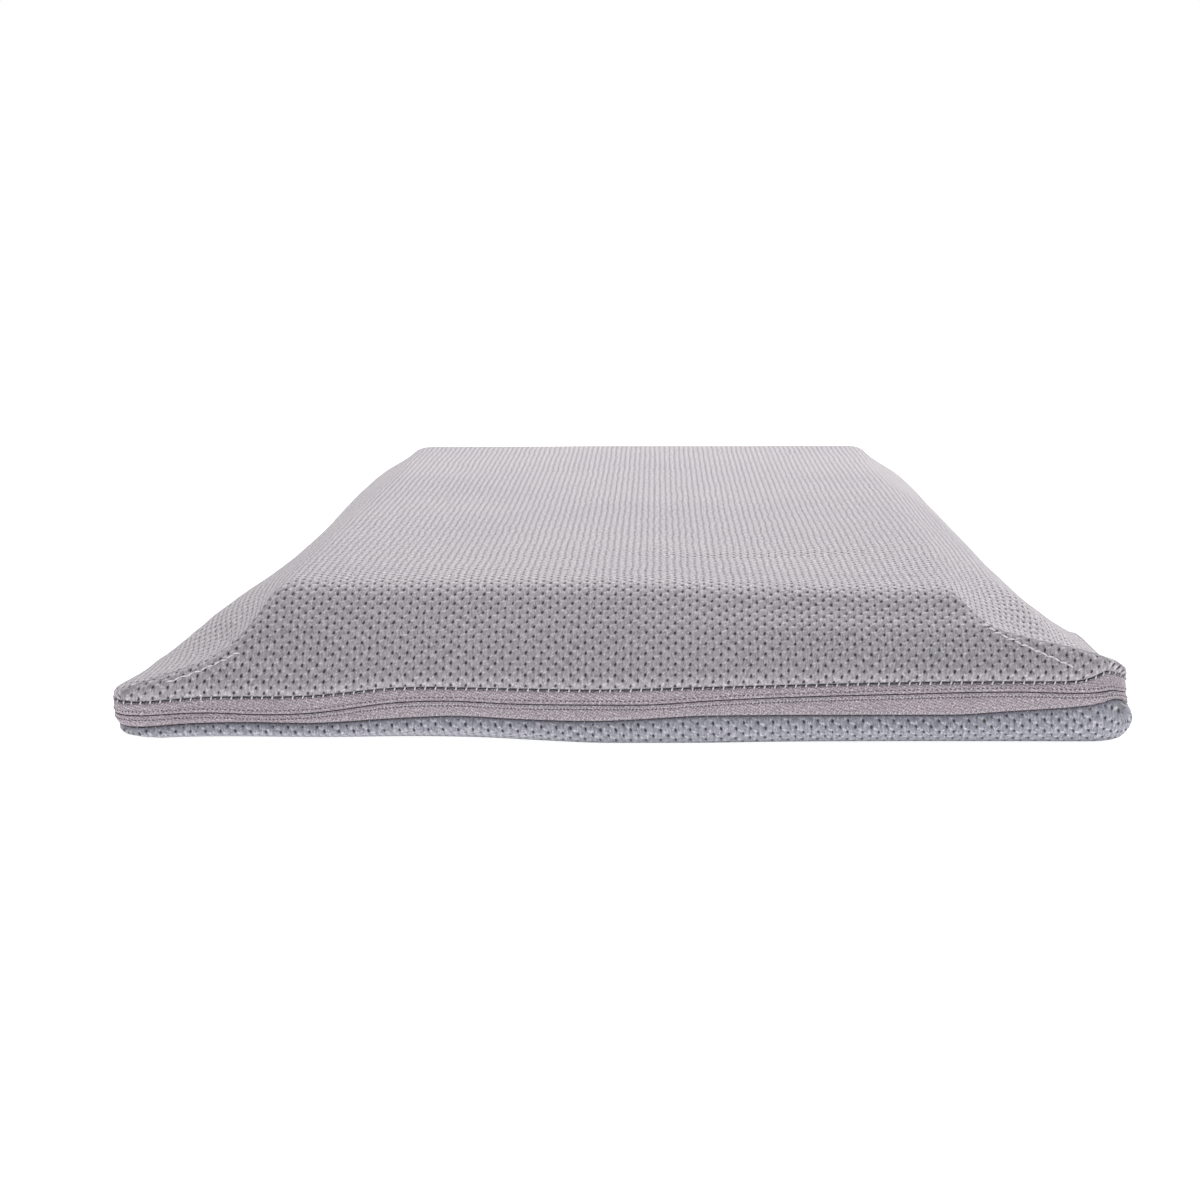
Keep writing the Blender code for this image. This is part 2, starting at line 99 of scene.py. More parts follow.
# How far the rounded nose over the upper seam stands up, as a share of that in TOP_LEVELS.
NOSE = (
    (-1.0, 0.7), (-0.5, 0.5), (-0.35, 0.5), (-0.27, 0.7), (-0.225, 1.0), (-0.19, 1.2), (-0.15, 1.0),
    (0.15, 1.0), (0.19, 1.0), (0.212, 1.1), (0.236, 0.75), (0.27, 0.42), (0.33, 0.35), (0.40, 0.6), (0.5, 0.6),
    (1.0, 0.7),
)
# The top cover from its seam up to the plateau: inset at the sides, inset at the ends, height, corner radius, in
# millimetres. Heights are those over a seam at LEVEL_SEAM.
LEVEL_SEAM = 21.5
TOP_LEVELS = (
    (3.4, 3.4, 22.3, 15), (1.6, 1.6, 21.75, 17), (0.5, 0.5, 21.8, 18), (-0.3, -0.3, 22.5, 18), (-0.8, -0.7, 23.8, 18),
    (-0.7, -0.7, 25.4, 17), (0.4, 0.2, 27.3, 15), (3.0, 1.5, 29.3, 12), (6.6, 3.2, 32.0, 10), (11.2, 5.1, 35.0, 8),
    (16.4, 7.1, 38.0, 7), (22.2, 9.3, 41.0, 6), (28.6, 11.7, 44.0, 5), (35.2, 14.4, 47.0, 5),
    (41.0, 17.1, 49.7, 4), (47.2, 19.9, 52.7, 4), (52.8, 22.6, 55.5, 4), (57.8, 25.5, 58.0, 3),
    (61.8, 28.9, 59.9, 3), (65.4, 33.2, 61.0, 3), (68.8, 38.4, 61.5, 3), (72.2, 44.5, 61.75, 3),
    (76.0, 52.0, 61.85, 3), (80.6, 60.5, 61.9, 3),
)


def with_middles(levels, first, last):
    """Adds a level halfway between each pair from first to last."""
    result = list(levels[:first])
    for a, b in zip(levels[first:last], levels[first + 1 : last + 1]):
        result += [a, tuple((p + q) / 2 for p, q in zip(a, b))]
    return result + list(levels[last:])


TOP_LEVELS = with_middles(TOP_LEVELS, 9, 19)


def eased(points):
    """A smooth curve through (place, value) points: a function that takes an array of places."""
    places, values = np.array(points).T
    slopes = np.gradient(values, places)

    def curve(q):
        q = np.clip(q, places[0], places[-1])
        i = np.clip(np.searchsorted(places, q, side="right") - 1, 0, len(places) - 2)
        h = places[i + 1] - places[i]
        t = (q - places[i]) / h
        a, b = values[i], values[i + 1]
        limit = np.abs(b - a) * 3 / h
        s0 = np.clip(slopes[i], -limit, limit)
        s1 = np.clip(slopes[i + 1], -limit, limit)
        ends = a * (2 * t**3 - 3 * t**2 + 1) + b * (3 * t**2 - 2 * t**3)
        return ends + h * s0 * (t**3 - 2 * t**2 + t) + h * s1 * (t**3 - t**2)

    return curve


def smooth(low, high, value):
    """0 below low, 1 above high, and a smooth step between them."""
    t = np.clip((value - low) / (high - low), 0, 1)
    return t * t * (3 - 2 * t)


def outline(half_w, half_l, radius):
    """COUNT points round a rounded rectangle, from the middle of its front left corner by way of the front."""
    points = []
    corners = ((-1, -1), (1, -1), (1, 1), (-1, 1))
    for edge in range(4):
        angle = math.radians(90 * edge - 90)
        steps = FRONT_STEPS if edge % 2 == 0 else SIDE_STEPS
        start, stop = (
            np.array([c[0] * (half_w - radius), c[1] * (half_l - radius)])
            for c in (corners[edge], corners[(edge + 1) % 4])
        )
        turn = math.pi / 4 / ARC_STEPS
        for j in range(ARC_STEPS):
            a = angle - math.pi / 4 + j * turn
            points.append(start + radius * np.array([math.cos(a), math.sin(a)]))
        out = radius * np.array([math.cos(angle), math.sin(angle)])
        straight = steps - 2 * ARC_STEPS
        for j in range(straight + 1):
            points.append(start + out + (stop - start) * j / straight)
        for j in range(1, ARC_STEPS):
            a = angle + j * turn
            points.append(stop + radius * np.array([math.cos(a), math.sin(a)]))
    return np.array(points)


BASE = outline(HALF_WIDTH, HALF_LENGTH, CORNER)


def route_of(points):
    """The route value of each plan point on the outline: x on the front, then the distance along sides and rear."""
    x, y = points[:, 0], points[:, 1]
    side = np.where(x >= 0, 1.0, -1.0)
    on_front = y < FRONT_Y + 0.3 * CORNER
    on_rear = y > HALF_LENGTH - 0.3 * CORNER
    along_side = HALF_WIDTH + (y - FRONT_Y)
    along_rear = HALF_WIDTH + 2 * HALF_LENGTH + (HALF_WIDTH - np.abs(x))
    return np.where(on_front, x, side * np.where(on_rear, along_rear, along_side))


ROUTE = route_of(BASE)
NORMAL = np.roll(BASE, -1, 0) - np.roll(BASE, 1, 0)
NORMAL = np.stack([NORMAL[:, 1], -NORMAL[:, 0]], -1)
NORMAL /= np.linalg.norm(NORMAL, axis=1)[:, None]


def bump(place, centre, width):
    """A rounded hump of height 1."""
    return np.exp(-(((place - centre) / width) ** 2))


def settle(values, rounds=2):
    """Values round the outline, averaged with their neighbours to take out small steps."""
    for _ in range(rounds):
        values = (np.roll(values, 1) + 2 * values + np.roll(values, -1)) / 4
    return values


UPPER = settle(eased(UPPER_SEAM)(ROUTE)) * MM
LOWER = settle(eased(LOWER_SEAM)(ROUTE)) * MM
MIDDLE = settle(eased(ZIP_LINE)(ROUTE)) * MM
EDGE_BACK = settle(eased(LOWER_EDGE_BACK)(ROUTE), 4) * MM
NOSE_SHARE = settle(eased(NOSE)(ROUTE), 4)

# The sides pull in a little behind the zip and at some puckers.
SIDE_IN = settle(
    np.where(
        ROUTE > 0,
        2.6 * MM * smooth(0.385, 0.425, ROUTE) + 2.6 * MM * smooth(0.635, 0.665, ROUTE),
        3.2 * MM * smooth(0.36, 0.56, -ROUTE) + 2.8 * MM * smooth(0.30, 0.42, -ROUTE),
    )
    * (1 - 0.5 * smooth(0.8, 1.0, np.abs(ROUTE)))
    - 2.2 * MM * bump(ROUTE, 0.54, 0.06)
    + 2.2 * MM * bump(ROUTE, 0.418, 0.014)
    + 2.2 * MM * bump(ROUTE, 0.66, 0.018)
    + 2.6 * MM * bump(ROUTE, -0.62, 0.022)
    + 1.0 * MM * bump(ROUTE, -0.47, 0.02)
)
# The front corners run out to a tip: how far along the route, and by how many millimetres at each height.
LEFT_TIP = bump(ROUTE, -0.202, np.where(ROUTE > -0.202, 0.024, 0.036))
RIGHT_TIP = bump(ROUTE, 0.204, np.where(ROUTE < 0.204, 0.022, 0.0085))
LEFT_FLARE = eased(
    (
        (0.0, 0.5), (4.0, 2.2), (9.0, 5.0), (14.0, 5.6), (18.0, 5.4), (23.0, 4.8), (28.0, 3.0), (36.0, 0.6),
        (44.0, 0.0),
    )
)
RIGHT_FLARE = eased(
    (
        (0.0, 3.5), (4.0, 4.4), (9.0, 4.2), (13.0, 3.2), (16.0, 1.6), (19.0, -0.3), (23.0, -2.8), (27.0, -4.8),
        (31.0, -5.4), (37.0, -4.0), (46.0, -1.5), (54.0, 0.0),
    )
)
# How far, in millimetres, the darts pull each height of the top cover inwards at the rear and front corners.
REAR_PULL = eased(((22.0, 0.0), (27.0, 1.0), (31.0, 7.5), (38.0, 21.0), (46.0, 15.8), (54.0, 5.2), (59.0, 0.0)))
RIGHT_PULL = eased(
    (
        (22.0, 0.0), (27.0, 1.5), (31.0, 8.5), (34.0, 15.0), (38.0, 20.5), (44.0, 22.0), (50.0, 16.5),
        (55.0, 10.5), (58.0, 7.5), (60.0, 5.5), (61.0, 3.8), (61.5, 2.5), (61.9, 0.5),
    )
)
LEFT_PULL = eased(
    (
        (22.0, 0.0), (26.0, 2.5), (29.0, 9.0), (32.0, 16.5), (35.0, 22.0), (38.7, 24.0), (44.0, 19.0),
        (50.0, 12.0), (55.0, 5.5), (59.0, 1.2), (61.0, 0.0),
    )
)
# Behind the front corners the seam's drop carries further up the slopes: by these millimetres, most on the left.
SLACK = np.where(ROUTE < 0, 6.4, 2.6) * (1 - 0.4 * smooth(0.55, 0.8, np.abs(ROUTE)))
SLACK = settle(smooth(0.22, 0.42, np.abs(ROUTE)) * SLACK, 6)


def flare(plan, z):
    """Moves plan points of a ring out in x at the front corners' tips. z is in metres."""
    plan[:, 0] += (RIGHT_TIP * RIGHT_FLARE(z / MM) - LEFT_TIP * LEFT_FLARE(z / MM)) * MM
    return plan


# ---------------------------------------------------------------- mesh helpers


def plain_mesh(name, verts, faces):
    """A mesh from arrays or lists."""
    mesh = bpy.data.meshes.new(name)
    mesh.from_pydata([tuple(map(float, v)) for v in verts], [], [tuple(map(int, f)) for f in faces])
    mesh.update()
    return mesh


def placed(name, data):
    """An object in the scene."""
    obj = bpy.data.objects.new(name, data)
    bpy.context.scene.collection.objects.link(obj)
    return obj


def new_piece(name, verts, faces, nodes=()):
    """A smooth mesh piece that rides on the pad and stands for some CAD nodes."""
    mesh = plain_mesh(name, verts, faces)
    mesh.validate()
    mesh.shade_smooth()
    obj = placed(name, mesh)
    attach(obj, "pad")
    if nodes:
        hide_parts(*nodes)
    return obj


def apply_modifiers(obj):
    """Turns the modifiers into plain mesh."""
    evaluated = obj.evaluated_get(bpy.context.evaluated_depsgraph_get())
    mesh = bpy.data.meshes.new_from_object(evaluated)
    obj.modifiers.clear()
    obj.data = mesh


def solidify(obj, thickness):
    """Gives a surface its thickness, inwards."""
    mod = obj.modifiers.new("thickness", "SOLIDIFY")
    mod.thickness = thickness
    mod.offset = -1.0
    mod.use_even_offset = False
    mod.use_quality_normals = True
    apply_modifiers(obj)
    obj.data.shade_smooth()


def set_uv(obj, values):
    """Gives every face corner the uv value of its vertex."""
    layer = obj.data.uv_layers.new(name="weave")
    index = np.zeros(len(obj.data.loops), int)
    obj.data.loops.foreach_get("vertex_index", index)
    layer.data.foreach_set("uv", np.asarray(values, float)[index].ravel())


def set_value(obj, name, values):
    """A number on every vertex, for the materials."""
    attribute = obj.data.attributes.new(name, "FLOAT", "POINT")
    attribute.data.foreach_set("value", np.asarray(values, np.float32))


def distance_along(line):
    """How far each point of a line is from its first point, along the line."""
    return np.concatenate([[0], np.cumsum(np.linalg.norm(np.diff(line, axis=0), axis=1))])


def ring_faces(rings, count, closed=True):
    """Quads between rings of count points each."""
    faces = []
    for i in range(rings - 1):
        a, b = i * count, (i + 1) * count
        for j in range(count if closed else count - 1):
            k = (j + 1) % count
            faces.append((a + j, a + k, b + k, b + j))
    return faces


def patch(ring, first, start, nx=FRONT_STEPS, ny=SIDE_STEPS):
    """A grid that fills a closed ring of points, blended from its four sides (a Coons patch). The ring has nx steps
    along each end and ny along each side; first is its first vertex number, start that of the new vertices."""
    front = ring[: nx + 1]
    right = ring[nx : nx + ny + 1]
    rear = ring[nx + ny : 2 * nx + ny + 1][::-1]
    left = np.concatenate([ring[2 * nx + ny :], ring[:1]])[::-1]
    u = np.linspace(0, 1, nx + 1)[:, None, None]
    v = np.linspace(0, 1, ny + 1)[None, :, None]
    grid = (
        (1 - v) * front[:, None] + v * rear[:, None] + (1 - u) * left[None] + u * right[None]
        - (1 - u) * (1 - v) * front[0] - u * (1 - v) * front[-1] - (1 - u) * v * rear[0] - u * v * rear[-1]
    )
    number = np.zeros((nx + 1, ny + 1), int)
    number[:, 0] = first + np.arange(nx + 1)
    number[-1, :] = first + nx + np.arange(ny + 1)
    number[:, -1] = first + nx + ny + np.arange(nx, -1, -1)
    number[0, 1:] = first + 2 * nx + 2 * ny - np.arange(1, ny + 1)
    inner = grid[1:-1, 1:-1].reshape(-1, ring.shape[1])
    number[1:-1, 1:-1] = start + np.arange(len(inner)).reshape(nx - 1, ny - 1)
    corners = (number[:-1, :-1], number[1:, :-1], number[1:, 1:], number[:-1, 1:])
    return inner, [tuple(face) for face in np.stack(corners, -1).reshape(-1, 4)]


def flipped(faces):
    """The same faces, seen from the other side."""
    return [face[::-1] for face in faces]


REAR_STEEPER = 0.30


def rear_share(height):
    """The rear slope is steeper: its insets are this share of the front's, at a height in millimetres."""
    return 1 - REAR_STEEPER * smooth(25, 55, height)


ENDS = np.abs(NORMAL[:, 1]) > np.abs(NORMAL[:, 0])


def carry_uv(uv, rings):
    """The cloth's own coordinates on the rings. The last ring keeps its plan coordinates, and each ring below it goes
    on by the distance down the surface: u at the sides, v at the ends, with plan coordinates for the other one."""
    for i in range(len(rings) - 2, -1, -1):
        part = uv[i * COUNT : (i + 1) * COUNT]
        step = rings[i] - rings[i + 1]
        down = np.hypot(step[:, :2], step[:, 2:])
        part[:] = uv[(i + 1) * COUNT : (i + 2) * COUNT] + np.sign(rings[i][:, :2]) * down
        part[:, 0] = np.where(ENDS, rings[i][:, 0], part[:, 0])
        part[:, 1] = np.where(ENDS, part[:, 1], rings[i][:, 1])
    return uv


DISH_DEPTH = 1.9 * MM
CREASE_DEPTH = 0.9 * MM
WAVE_HEIGHT = 1.1 * MM
SWELL_HEIGHT = 0.7 * MM
RIDGE_HEIGHT = 2.0 * MM
SAG_DEPTH = 3.4 * MM


def ripples(points):
    """Soft undulations of the top, in metres of height, for plan points."""
    x, y = points.T
    inside = (1 - smooth(0.095, 0.135, np.abs(x))) * (1 - smooth(0.20, 0.27, np.abs(y)))
    dish = -DISH_DEPTH * (1 - (x / 0.15) ** 2) * (1 - (y / 0.30) ** 2)
    wave = np.array([noise.noise(Vector((px * 5.0 + 3.1, py * 17.0, 0.7))) for px, py in points])
    swell = np.array([noise.noise(Vector((px * 9.0, py * 8.0, 4.2))) for px, py in points])
    crease = -CREASE_DEPTH * bump(y, -0.193 + 0.1 * (x - 0.05), 0.007) * smooth(0.0, 0.03, x)
    crease = crease * (1 - smooth(0.09, 0.13, x))
    return inside * (dish + crease) + (WAVE_HEIGHT * wave + SWELL_HEIGHT * swell) * (0.35 + 0.65 * inside)


def slope_ridge(points):
    """A fold along the right slope, gentle on its upper side and steeper below."""
    x, y = points[:, 0], points[:, 1]
    off = x - (0.156 + 0.02 * smooth(-0.20, -0.27, y) - 0.008 * smooth(-0.05, 0.12, y))
    section = np.exp(-((np.where(off < 0, off / (11 * MM), off / (6 * MM))) ** 2))
    along = smooth(-0.285, -0.235, y) * (1 - smooth(0.02, 0.14, y))
    return RIDGE_HEIGHT * section * along


def corner_sag(points):
    """The plateau's near right corner is lower than the rest of it."""
    x, y, z = points.T
    return -SAG_DEPTH * smooth(-0.03, 0.12, x) * (1 - smooth(-0.25, -0.15, y)) * smooth(44 * MM, 56 * MM, z)


# ---------------------------------------------------------------- top cover

# A distance from the seam that counts as far.
FAR = 40 * MM


def filled(rings):
    """Vertices and faces of rings whose last one is closed by a grid."""
    verts = np.concatenate(rings)
    inner, more = patch(rings[-1], len(verts) - COUNT, len(verts))
    return np.concatenate([verts, inner]), ring_faces(len(rings), COUNT) + more


def top_surface():
    """Vertices, faces, and distance-above-the-seam of the top cover's outer face."""
    rings = []
    above = [np.zeros(COUNT), np.zeros(COUNT)]
    for side_in, end_in, height, radius in TOP_LEVELS:
        half_width, half_length = HALF_WIDTH - side_in * MM, HALF_LENGTH - end_in * MM
        ring = outline(half_width, half_length, radius * MM)
        # Towards the rear the plateau widens on the right. The rear slope is steeper than the front one.
        share = np.where(ring[:, 0] > 0, 0.05, -0.01)
        widen = share * side_in * MM * smooth(-0.25, 0.26, ring[:, 1]) * smooth(20, 60, side_in)
        steeper = end_in * MM * (1 - rear_share(height))
        ring[:, 1] *= np.where(ring[:, 1] > 0, 1 + steeper / half_length, 1)
        ring[:, 0] *= 1 + widen / half_width
        rear, right, left = (curve(np.array(height, float)) for curve in (REAR_PULL, RIGHT_PULL, LEFT_PULL))
        pull = np.where(ring[:, 1] > 0, rear, np.where(ring[:, 0] > 0, right, left)) * MM
        ring[:, 0] *= 1 - pull * smooth(0.220, 0.287, np.abs(ring[:, 1])) / half_width
        full = smooth(26.0, 50.0 + SLACK, height)
        ring -= NORMAL * (SIDE_IN * (1 - 0.8 * smooth(22, 50, height)))[:, None]
        near_seam = UPPER + (height - LEVEL_SEAM) * MM * NOSE_SHARE
        z = height * MM * full + near_seam * (1 - full)
        rings.append(np.column_stack([flare(ring, z), z]))
        if len(rings) > 2:
            above.append(above[-1] + np.linalg.norm(rings[-1] - rings[-2], axis=1))
    verts, faces = filled(rings)
    above = np.concatenate(above + [np.full(len(verts) - len(rings) * COUNT, FAR)])
    lift = smooth(7 * MM, 34 * MM, above)
    verts[:, 2] += ripples(verts[:, :2]) * lift + slope_ridge(verts) + corner_sag(verts)
    return verts, faces, above


STRIDE = 4
COARSE = COUNT // STRIDE
COARSE_NX = FRONT_STEPS // STRIDE
COARSE_NY = SIDE_STEPS // STRIDE


def coarse_points(verts, rings):
    """Every fourth point of a surface made of rings and an inner grid."""
    around = verts[: rings * COUNT].reshape(rings, COUNT, -1)[:, ::STRIDE].reshape(rings * COARSE, -1)
    inner = verts[rings * COUNT :].reshape(FRONT_STEPS - 1, SIDE_STEPS - 1, -1)
    inner = inner[STRIDE - 1 :: STRIDE, STRIDE - 1 :: STRIDE].reshape((COARSE_NX - 1) * (COARSE_NY - 1), -1)
    return np.concatenate([around, inner])


def coarse_faces(rings):
    """Faces for coarse_points."""
    start = rings * COARSE
    _, grid = patch(np.zeros((COARSE, 1)), start - COARSE, start, COARSE_NX, COARSE_NY)
    return ring_faces(rings, COARSE) + grid


def spread(values, rings):
    """Carries values from the coarse points to all points of the surface."""
    around = values[: rings * COARSE].reshape(rings, COARSE, -1)
    at = np.arange(COUNT) / STRIDE
    low = at.astype(int)
    part = (at - low)[None, :, None]
    around = around[:, low] * (1 - part) + around[:, (low + 1) % COARSE] * part
    for _ in range(3):
        around = (np.roll(around, 1, 1) + 2 * around + np.roll(around, -1, 1)) / 4
    inner = values[rings * COARSE :].reshape(COARSE_NX - 1, COARSE_NY - 1, -1)
    grid = np.zeros((FRONT_STEPS - 1, SIDE_STEPS - 1, values.shape[1]))
    x = np.clip(np.arange(1, FRONT_STEPS) / STRIDE - 1, 0, COARSE_NX - 2)
    y = np.clip(np.arange(1, SIDE_STEPS) / STRIDE - 1, 0, COARSE_NY - 2)
    for c in range(values.shape[1]):
        rows = np.array([np.interp(y, np.arange(COARSE_NY - 1), row) for row in inner[:, :, c]])
        grid[:, :, c] = np.array([np.interp(x, np.arange(COARSE_NX - 1), column) for column in rows.T]).T
    for _ in range(3):
        grid[1:-1] = (grid[:-2] + 2 * grid[1:-1] + grid[2:]) / 4
        grid[:, 1:-1] = (grid[:, :-2] + 2 * grid[:, 1:-1] + grid[:, 2:]) / 4
    return np.concatenate([around.reshape(-1, values.shape[1]), grid.reshape(-1, values.shape[1])])


CLOTH_SETTINGS = {
    "quality": 6,
    "mass": 0.25,
    "tension_stiffness": 12.0,
    "compression_stiffness": 12.0,
    "shear_stiffness": 4.0,
    "bending_stiffness": 0.4,
    "air_damping": 2.0,
    "shrink_min": -0.004,
    "vertex_group_mass": "pinned",
}


def settled_cloth(points, faces, form, pinned, frames=24, cap=1.1 * MM):
    """How far each point of a slightly slack cloth moves when it settles by its weight over a solid form. It stays
    under cap, so that no fold forms at the pinned edge."""
    cloth = placed("settling_cloth", plain_mesh("settling_cloth", points, faces))
    solid = placed("settling_form", plain_mesh("settling_form", form, faces))
    solid.modifiers.new("collision", "COLLISION")
    solid.collision.thickness_outer = 0.4 * MM
    solid.collision.cloth_friction = 6.0
    group = cloth.vertex_groups.new(name="pinned")
    group.add([int(i) for i in pinned], 1.0, "REPLACE")
    modifier = cloth.modifiers.new("cloth", "CLOTH")
    for key, value in CLOTH_SETTINGS.items():
        setattr(modifier.settings, key, value)
    modifier.collision_settings.distance_min = 0.6 * MM
    modifier.collision_settings.use_self_collision = False
    modifier.point_cache.frame_start = 1
    modifier.point_cache.frame_end = frames
    for number in range(1, frames + 1):
        bpy.context.scene.frame_set(number)
    settled = cloth.evaluated_get(bpy.context.evaluated_depsgraph_get()).data
    result = np.zeros(len(points) * 3)
    settled.vertices.foreach_get("co", result)
    bpy.context.scene.frame_set(1)
    bpy.data.objects.remove(cloth)
    bpy.data.objects.remove(solid)
    moved = result.reshape(-1, 3) - points
    length = np.linalg.norm(moved, axis=1)
    return moved * (cap / (cap + length))[:, None]


def vertex_normals(verts, faces):
    """Outward unit normals of a surface."""
    mesh = plain_mesh("normals", verts, faces)
    normals = np.array([v.normal for v in mesh.vertices])
    bpy.data.meshes.remove(mesh)
    return normals


TOP_VERTS, TOP_FACES, ABOVE = top_surface()
TOP_COUNT = len(TOP_LEVELS)
PINNED_RINGS = 9
FORM_DEPTH = 2.4 * MM
FADE_FROM, FADE_TO = 12 * MM, 55 * MM
start = coarse_points(TOP_VERTS, TOP_COUNT)
form = start - FORM_DEPTH * coarse_points(vertex_normals(TOP_VERTS, TOP_FACES), TOP_COUNT)
move = settled_cloth(start, coarse_faces(TOP_COUNT), form, np.arange(PINNED_RINGS * COARSE))
fade = smooth(FADE_FROM, FADE_TO, coarse_points(ABOVE[:, None], TOP_COUNT))
TOP_VERTS = TOP_VERTS + spread(move * fade, TOP_COUNT)
top = new_piece("top_cover_fabric", TOP_VERTS, TOP_FACES, ["top_cover"])
set_uv(top, carry_uv(TOP_VERTS[:, :2].copy(), TOP_VERTS[: COUNT * TOP_COUNT].reshape(-1, COUNT, 3)))
set_value(top, "above_seam", ABOVE)
OUTWARD = np.array([v.normal for v in top.data.vertices])
solidify(top, FABRIC)

# ---------------------------------------------------------------- bottom cover

# From the seam down and under: inset, height as a share of the seam's, corner radius.
BOTTOM_LEVELS = (
    (3.4, 1.00, 15), (1.6, 1.02, 17), (0.4, 0.98, 18), (-0.5, 0.86, 19), (-0.9, 0.70, 19), (-0.8, 0.52, 19),
    (-0.4, 0.34, 18), (0.4, 0.18, 17), (1.6, 0.07, 16), (3.2, 0.015, 15), (6.0, 0.0, 14),
)
SEAM_ALLOWANCE = 0.3 * MM
FLAT_INSET, FLAT_CORNER = 44 * MM, 8 * MM


def bottom_surface():
    rings = []
    for inset, share, radius in BOTTOM_LEVELS:
        ring = outline(HALF_WIDTH - inset * MM, HALF_LENGTH - inset * MM, radius * MM)
        back = EDGE_BACK * (1 - smooth(0.0, 0.6, share))
        ring -= NORMAL * (back + SIDE_IN)[:, None]
        z = share * (LOWER - SEAM_ALLOWANCE)
        rings.append(np.column_stack([flare(ring, z), z]))
    flat = outline(HALF_WIDTH - FLAT_INSET, HALF_LENGTH - FLAT_INSET, FLAT_CORNER)
    rings.append(np.column_stack([flat, np.zeros(COUNT)]))
    verts, faces = filled(rings)
    return verts, flipped(faces)


BOTTOM_VERTS, BOTTOM_FACES = bottom_surface()
BOTTOM_COUNT = len(BOTTOM_LEVELS) + 1
BOTTOM_OUTWARD = vertex_normals(BOTTOM_VERTS, BOTTOM_FACES)
BOTTOM_RINGS = BOTTOM_VERTS[: COUNT * BOTTOM_COUNT].reshape(-1, COUNT, 3)
HEM = 1.8 * MM
bottom = new_piece("bottom_cover_fabric", BOTTOM_VERTS, BOTTOM_FACES, ["bottom_cover"])
set_uv(bottom, carry_uv(BOTTOM_VERTS[:, :2].copy(), BOTTOM_RINGS))
below = np.linalg.norm(np.diff(BOTTOM_RINGS, axis=0), axis=2).cumsum(0) - HEM
below = np.concatenate([np.zeros(COUNT), below.ravel()])
set_value(bottom, "above_seam", np.concatenate([below, np.full(len(BOTTOM_VERTS) - len(below), FAR)]))
# Painted contact shadow: how much the cloth darkens in its lowest couple of millimetres, just above the floor.
set_value(bottom, "contact_shadow", bump(BOTTOM_VERTS[:, 2], 0.3 * MM, 1.6 * MM) * (BOTTOM_VERTS[:, 2] < 8 * MM))
solidify(bottom, LOWER_FABRIC)

# ---------------------------------------------------------------- liner and foam inside the cover

NOSE_RING = 4
FOAM_RING = 8
LINER = 0.7 * MM
LINER_DEPTH_TOP, LINER_DEPTH_BOTTOM = 2.5 * MM, 2.0 * MM
FOAM_DEPTH_TOP, FOAM_DEPTH_BOTTOM, FOAM_GAP = 3.6 * MM, 3.0 * MM, 0.3 * MM
TOP_SOFT = coarse_points(TOP_VERTS, TOP_COUNT)
TOP_SOFT_OUT = coarse_points(OUTWARD, TOP_COUNT)
BOTTOM_SOFT = coarse_points(BOTTOM_VERTS, BOTTOM_COUNT)
BOTTOM_SOFT_OUT = coarse_points(BOTTOM_OUTWARD, BOTTOM_COUNT)


def liner(name, points, faces, node):
    """A thin knitted layer just inside a cover, from its nose on."""
    verts = points[NOSE_RING * COARSE :]
    obj = new_piece(name, verts, faces, [node])
    set_uv(obj, verts[:, :2])
    solidify(obj, LINER)
    return obj


liner_top = liner(
    "liner_top_knit", TOP_SOFT - TOP_SOFT_OUT * LINER_DEPTH_TOP, coarse_faces(TOP_COUNT - NOSE_RING), "liner_top"
)
liner_bottom = liner(
    "liner_bottom_knit",
    BOTTOM_SOFT - BOTTOM_SOFT_OUT * LINER_DEPTH_BOTTOM,
    flipped(coarse_faces(BOTTOM_COUNT - NOSE_RING)),
    "liner_bottom",
)


def closed_foam(name, rings, grid_top, grid_bottom, node):
    """A closed foam form: rings from top to bottom, with a grid over the first and one under the last."""
    verts = np.concatenate(rings + [grid_top, grid_bottom])
    last, start = (len(rings) - 1) * COARSE, len(rings) * COARSE
    faces = flipped(ring_faces(len(rings), COARSE))
    faces += patch(rings[0], 0, start, COARSE_NX, COARSE_NY)[1]
    faces += flipped(patch(rings[-1], last, start + len(grid_top), COARSE_NX, COARSE_NY)[1])
    obj = new_piece(name, verts, faces, [node])
    return obj


def foam_layers():
    """The soft top layer and the firm base, which meet along a gently waving line inside the slopes."""
    skin = TOP_SOFT - TOP_SOFT_OUT * FOAM_DEPTH_TOP
    under = BOTTOM_SOFT - BOTTOM_SOFT_OUT * FOAM_DEPTH_BOTTOM
    top_rings = [skin[i * COARSE : (i + 1) * COARSE] for i in range(TOP_COUNT)]
    low_rings = [under[i * COARSE : (i + 1) * COARSE] for i in range(BOTTOM_COUNT)]
    joint = top_rings[FOAM_RING]
    middle = patch(joint, 0, 0, COARSE_NX, COARSE_NY)[0]
    gap = np.array([0, 0, FOAM_GAP])
    soft = closed_foam(
        "memory_foam_pad", top_rings[: FOAM_RING - 1 : -1], skin[TOP_COUNT * COARSE :], middle,
        "memory_foam_layer",
    )
    base_rings = [joint - gap] + top_rings[FOAM_RING - 1 : NOSE_RING - 1 : -1] + low_rings[NOSE_RING:]
    firm = closed_foam(
        "support_foam_pad", base_rings, middle - gap, under[BOTTOM_COUNT * COARSE :],
        "support_foam_base",
    )
    return soft, firm


memory_foam, support_foam = foam_layers()

# ---------------------------------------------------------------- zip tapes and gusset

# Outline numbers along the zip, from its left end round the front to its right end, and those of the rest.
ON_ZIP = np.abs(ROUTE) < HALF_WIDTH + (ZIP_END_Y - FRONT_Y)
ZIP_NUMBERS = np.nonzero(ON_ZIP)[0]
ZIP_NUMBERS = ZIP_NUMBERS[np.argsort(ROUTE[ZIP_NUMBERS])]
REST_NUMBERS = np.nonzero(~ON_ZIP)[0]
TAPE = 0.6 * MM


